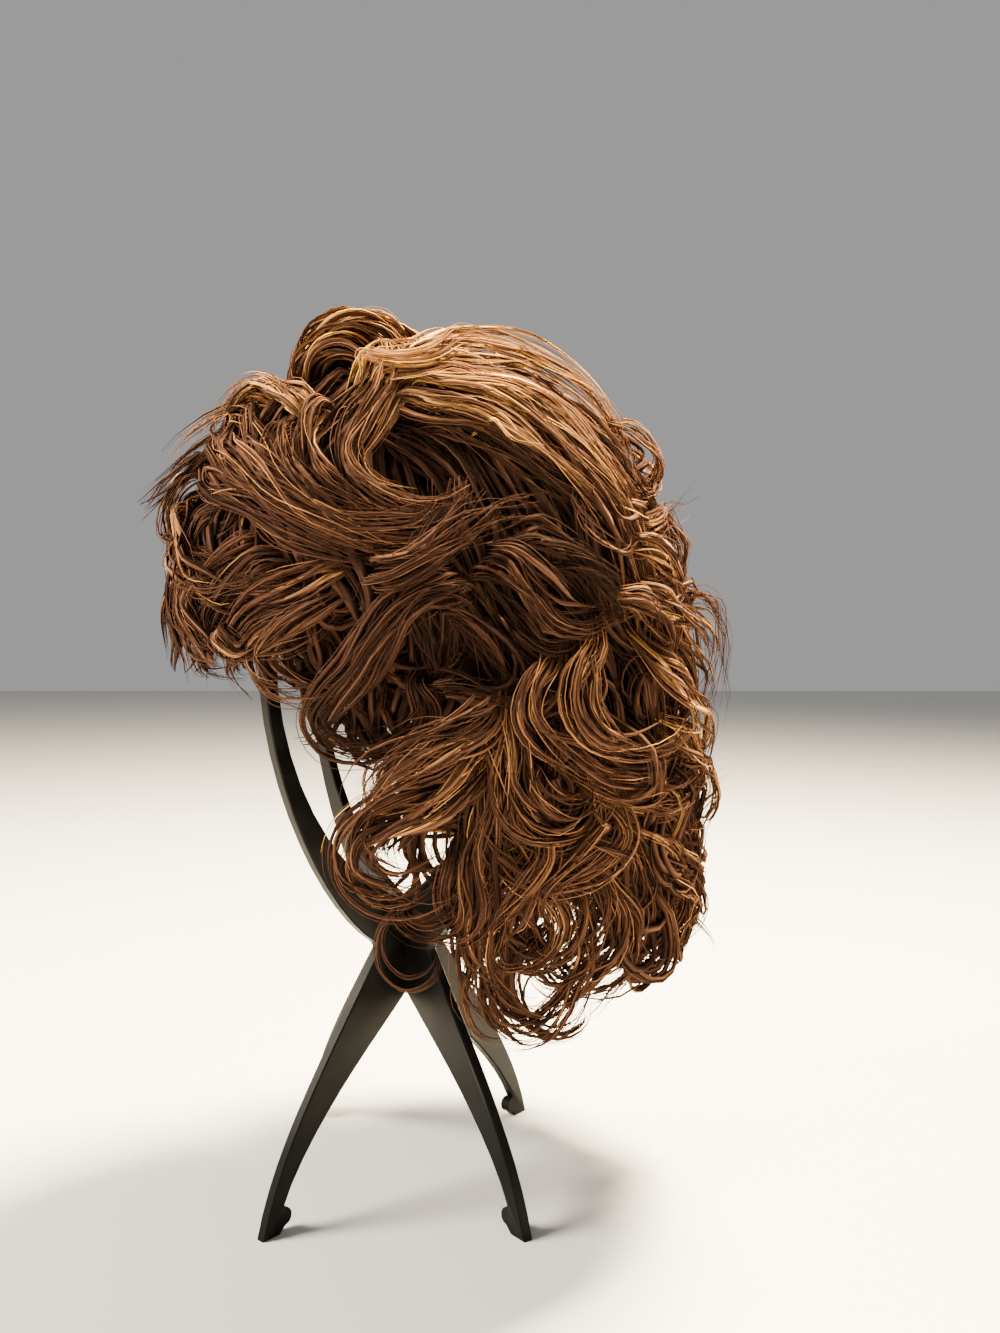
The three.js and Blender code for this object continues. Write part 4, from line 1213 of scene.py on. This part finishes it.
# The knit's colours: a dark brown kept near black as painted shade, so the cap reads as shadow between the
# locks, and darker where the knit lies low, as painted shade in its hollows.
KNIT_COLOURS_WITH_PAINTED_SHADE = [
    (0.0, (0.006, 0.0034, 0.0022)),
    (0.6, (0.014, 0.0075, 0.0048)),
    (1.0, (0.024, 0.013, 0.008)),
]
KNIT_GRAIN = 900
KNIT_ROWS = 34
KNIT_ROW_WAVER = 0.6
KNIT_LOOPS = 700
KNIT_LOOP_HEIGHT = 0.6
KNIT_DEPTH = (0, 1.5)
KNIT_ROUGHNESS = (0.75, 0.95)
KNIT_SHINE = 0.1
KNIT_BUMP = dict(distance=0.6 * MM, strength=0.5)


def cap_knit(grain_group):
    """Dark stretch knit with rows of weft stitching round the head; its near black and its darker hollows
    are painted shade.
    """
    material, tree, shader = new_material("cap_knit")
    place = object_places(tree)
    grain = place_group(tree, grain_group, Vector=place, Size=KNIT_GRAIN)
    rows = tree.nodes.new("ShaderNodeTexWave")
    rows.wave_type = "BANDS"
    rows.bands_direction = "Z"
    rows.inputs["Scale"].default_value = KNIT_ROWS
    rows.inputs["Distortion"].default_value = KNIT_ROW_WAVER
    feed(tree, rows.inputs["Vector"], place)
    loops = tree.nodes.new("ShaderNodeTexVoronoi")
    loops.inputs["Scale"].default_value = KNIT_LOOPS
    feed(tree, loops.inputs["Vector"], place)
    raised = math_node(tree, "MULTIPLY", loops.outputs["Distance"], KNIT_LOOP_HEIGHT)
    knit = math_node(tree, "ADD", rows.outputs["Fac"], raised)
    # Painted shade: the colour darkens where the knit's height is low, in the hollows between rows and
    # loops.
    depth = map_range(tree, knit, KNIT_DEPTH, (0, 1))
    feed(tree, shader.inputs["Base Color"], ramp(tree, depth, KNIT_COLOURS_WITH_PAINTED_SHADE))
    feed(tree, shader.inputs["Roughness"], map_range(tree, grain["Grain"], NOISE_SPAN, KNIT_ROUGHNESS))
    shader.inputs["Specular IOR Level"].default_value = KNIT_SHINE
    add_bump(tree, shader, knit, **KNIT_BUMP)
    return material


# The stand's plastic: its black, greyer where the broad patches are rubbed, and the scale of its grain

PLASTIC_COLOURS = [(0.0, (0.0018, 0.0018, 0.0018)), (1.0, (0.005, 0.0049, 0.0048))]
PLASTIC_GRAIN = 1400
PLASTIC_RUBBED = (0.52, 0.72)
PLASTIC_ROUGHNESS = (0.34, 0.5)
PLASTIC_SHINE = 0.08
PLASTIC_BUMP = dict(distance=0.05 * MM, strength=0.35)


def stand_black_plastic(grain_group):
    """Satin black moulded plastic with a fine grain and faint rubbed patches."""
    material, tree, shader = new_material("stand_black_plastic")
    grain = place_group(tree, grain_group, Vector=object_places(tree), Size=PLASTIC_GRAIN)
    rubbed = map_range(tree, grain["Patches"], PLASTIC_RUBBED, (0, 1))
    feed(tree, shader.inputs["Base Color"], ramp(tree, rubbed, PLASTIC_COLOURS))
    feed(tree, shader.inputs["Roughness"], map_range(tree, grain["Patches"], NOISE_SPAN, PLASTIC_ROUGHNESS))
    shader.inputs["Specular IOR Level"].default_value = PLASTIC_SHINE
    add_bump(tree, shader, grain["Grain"], **PLASTIC_BUMP)
    return material


FLOOR_COLOURS = [(0.0, (0.58, 0.57, 0.555)), (1.0, (0.63, 0.62, 0.605))]
FLOOR_CLOUDS = 3
FLOOR_ROUGHNESS = 0.7


def pale_floor():
    material, tree, shader = new_material("pale_floor")
    clouds = tree.nodes.new("ShaderNodeTexNoise")
    clouds.inputs["Scale"].default_value = FLOOR_CLOUDS
    feed(tree, shader.inputs["Base Color"], ramp(tree, clouds.outputs["Fac"], FLOOR_COLOURS))
    shader.inputs["Roughness"].default_value = FLOOR_ROUGHNESS
    return material


# Studio

FLOOR_SIZE = 8
ROOM_COLOUR = (1.0, 0.99, 0.98, 1)
ROOM_STRENGTH = 0.37
LIGHTS = [
    dict(name="top_back", place=(-0.30, 0.30, 1.20), aim=(0, 0, 0.26), size=0.35, power=300,
         colour=(1.0, 0.84, 0.56)),
    dict(name="front_rim", place=(0.2, -1.0, 0.85), aim=(0, 0, 0.26), size=0.5, power=72,
         colour=(1.0, 0.90, 0.74)),
    dict(name="camera_fill", place=(1.1, 0.60, 0.45), aim=(0, 0, 0.2), size=0.7, power=1.4,
         colour=(1.0, 0.88, 0.75)),
    dict(name="nape_fill", place=(0.55, 0.45, 0.06), aim=(0, 0.06, 0.12), size=0.3, power=2.6,
         colour=(1.0, 0.80, 0.58)),
]


def set_studio():
    bpy.ops.object.select_all(action="DESELECT")
    bpy.ops.mesh.primitive_plane_add(size=FLOOR_SIZE)
    floor = bpy.context.object
    floor.name = "floor"
    floor.data.materials.append(pale_floor())
    for row in LIGHTS:
        light = bpy.data.lights.new(row["name"], "AREA")
        light.size = row["size"]
        light.energy = row["power"]
        light.color = row["colour"]
        lamp = add_to_scene(row["name"], light)
        lamp.location = row["place"]
        way = Vector(row["aim"]) - Vector(row["place"])
        lamp.rotation_euler = way.to_track_quat("-Z", "Y").to_euler()
    world = bpy.data.worlds.new("soft_room")
    bpy.context.scene.world = world
    world.use_nodes = True
    sky = world.node_tree.nodes["Background"]
    sky.inputs["Color"].default_value = ROOM_COLOUR
    sky.inputs["Strength"].default_value = ROOM_STRENGTH


def set_camera():
    data = bpy.data.cameras.new("side_camera")
    data.sensor_width = CAMERA_SENSOR
    data.lens = CAMERA_LENS
    camera = add_to_scene("side_camera", data)
    camera.location = CAMERA_PLACE
    camera.rotation_euler = (math.pi / 2 - CAMERA_PITCH, 0, math.pi / 2)
    bpy.context.scene.camera = camera


def finish_piece(piece, materials, nodes):
    for material in materials:
        piece.data.materials.append(material)
    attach(piece, "root")
    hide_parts(*nodes)


set_camera()
set_studio()
grain_group = fine_grain_group()
tone_group = hair_tone_group()
hair_finishes = [hair_fibre(tone_group), hair_clump(tone_group)]
for name, piece in grow_hair().items():
    finish_piece(piece, hair_finishes, HAIR_PIECES[name])
finish_piece(make_cap(), [cap_knit(grain_group)], CAP_NODES)
plastic = stand_black_plastic(grain_group)
for name, node in FRAMES.items():
    finish_piece(make_frame(name, node), [plastic], [node])

bpy.context.view_layer.update()
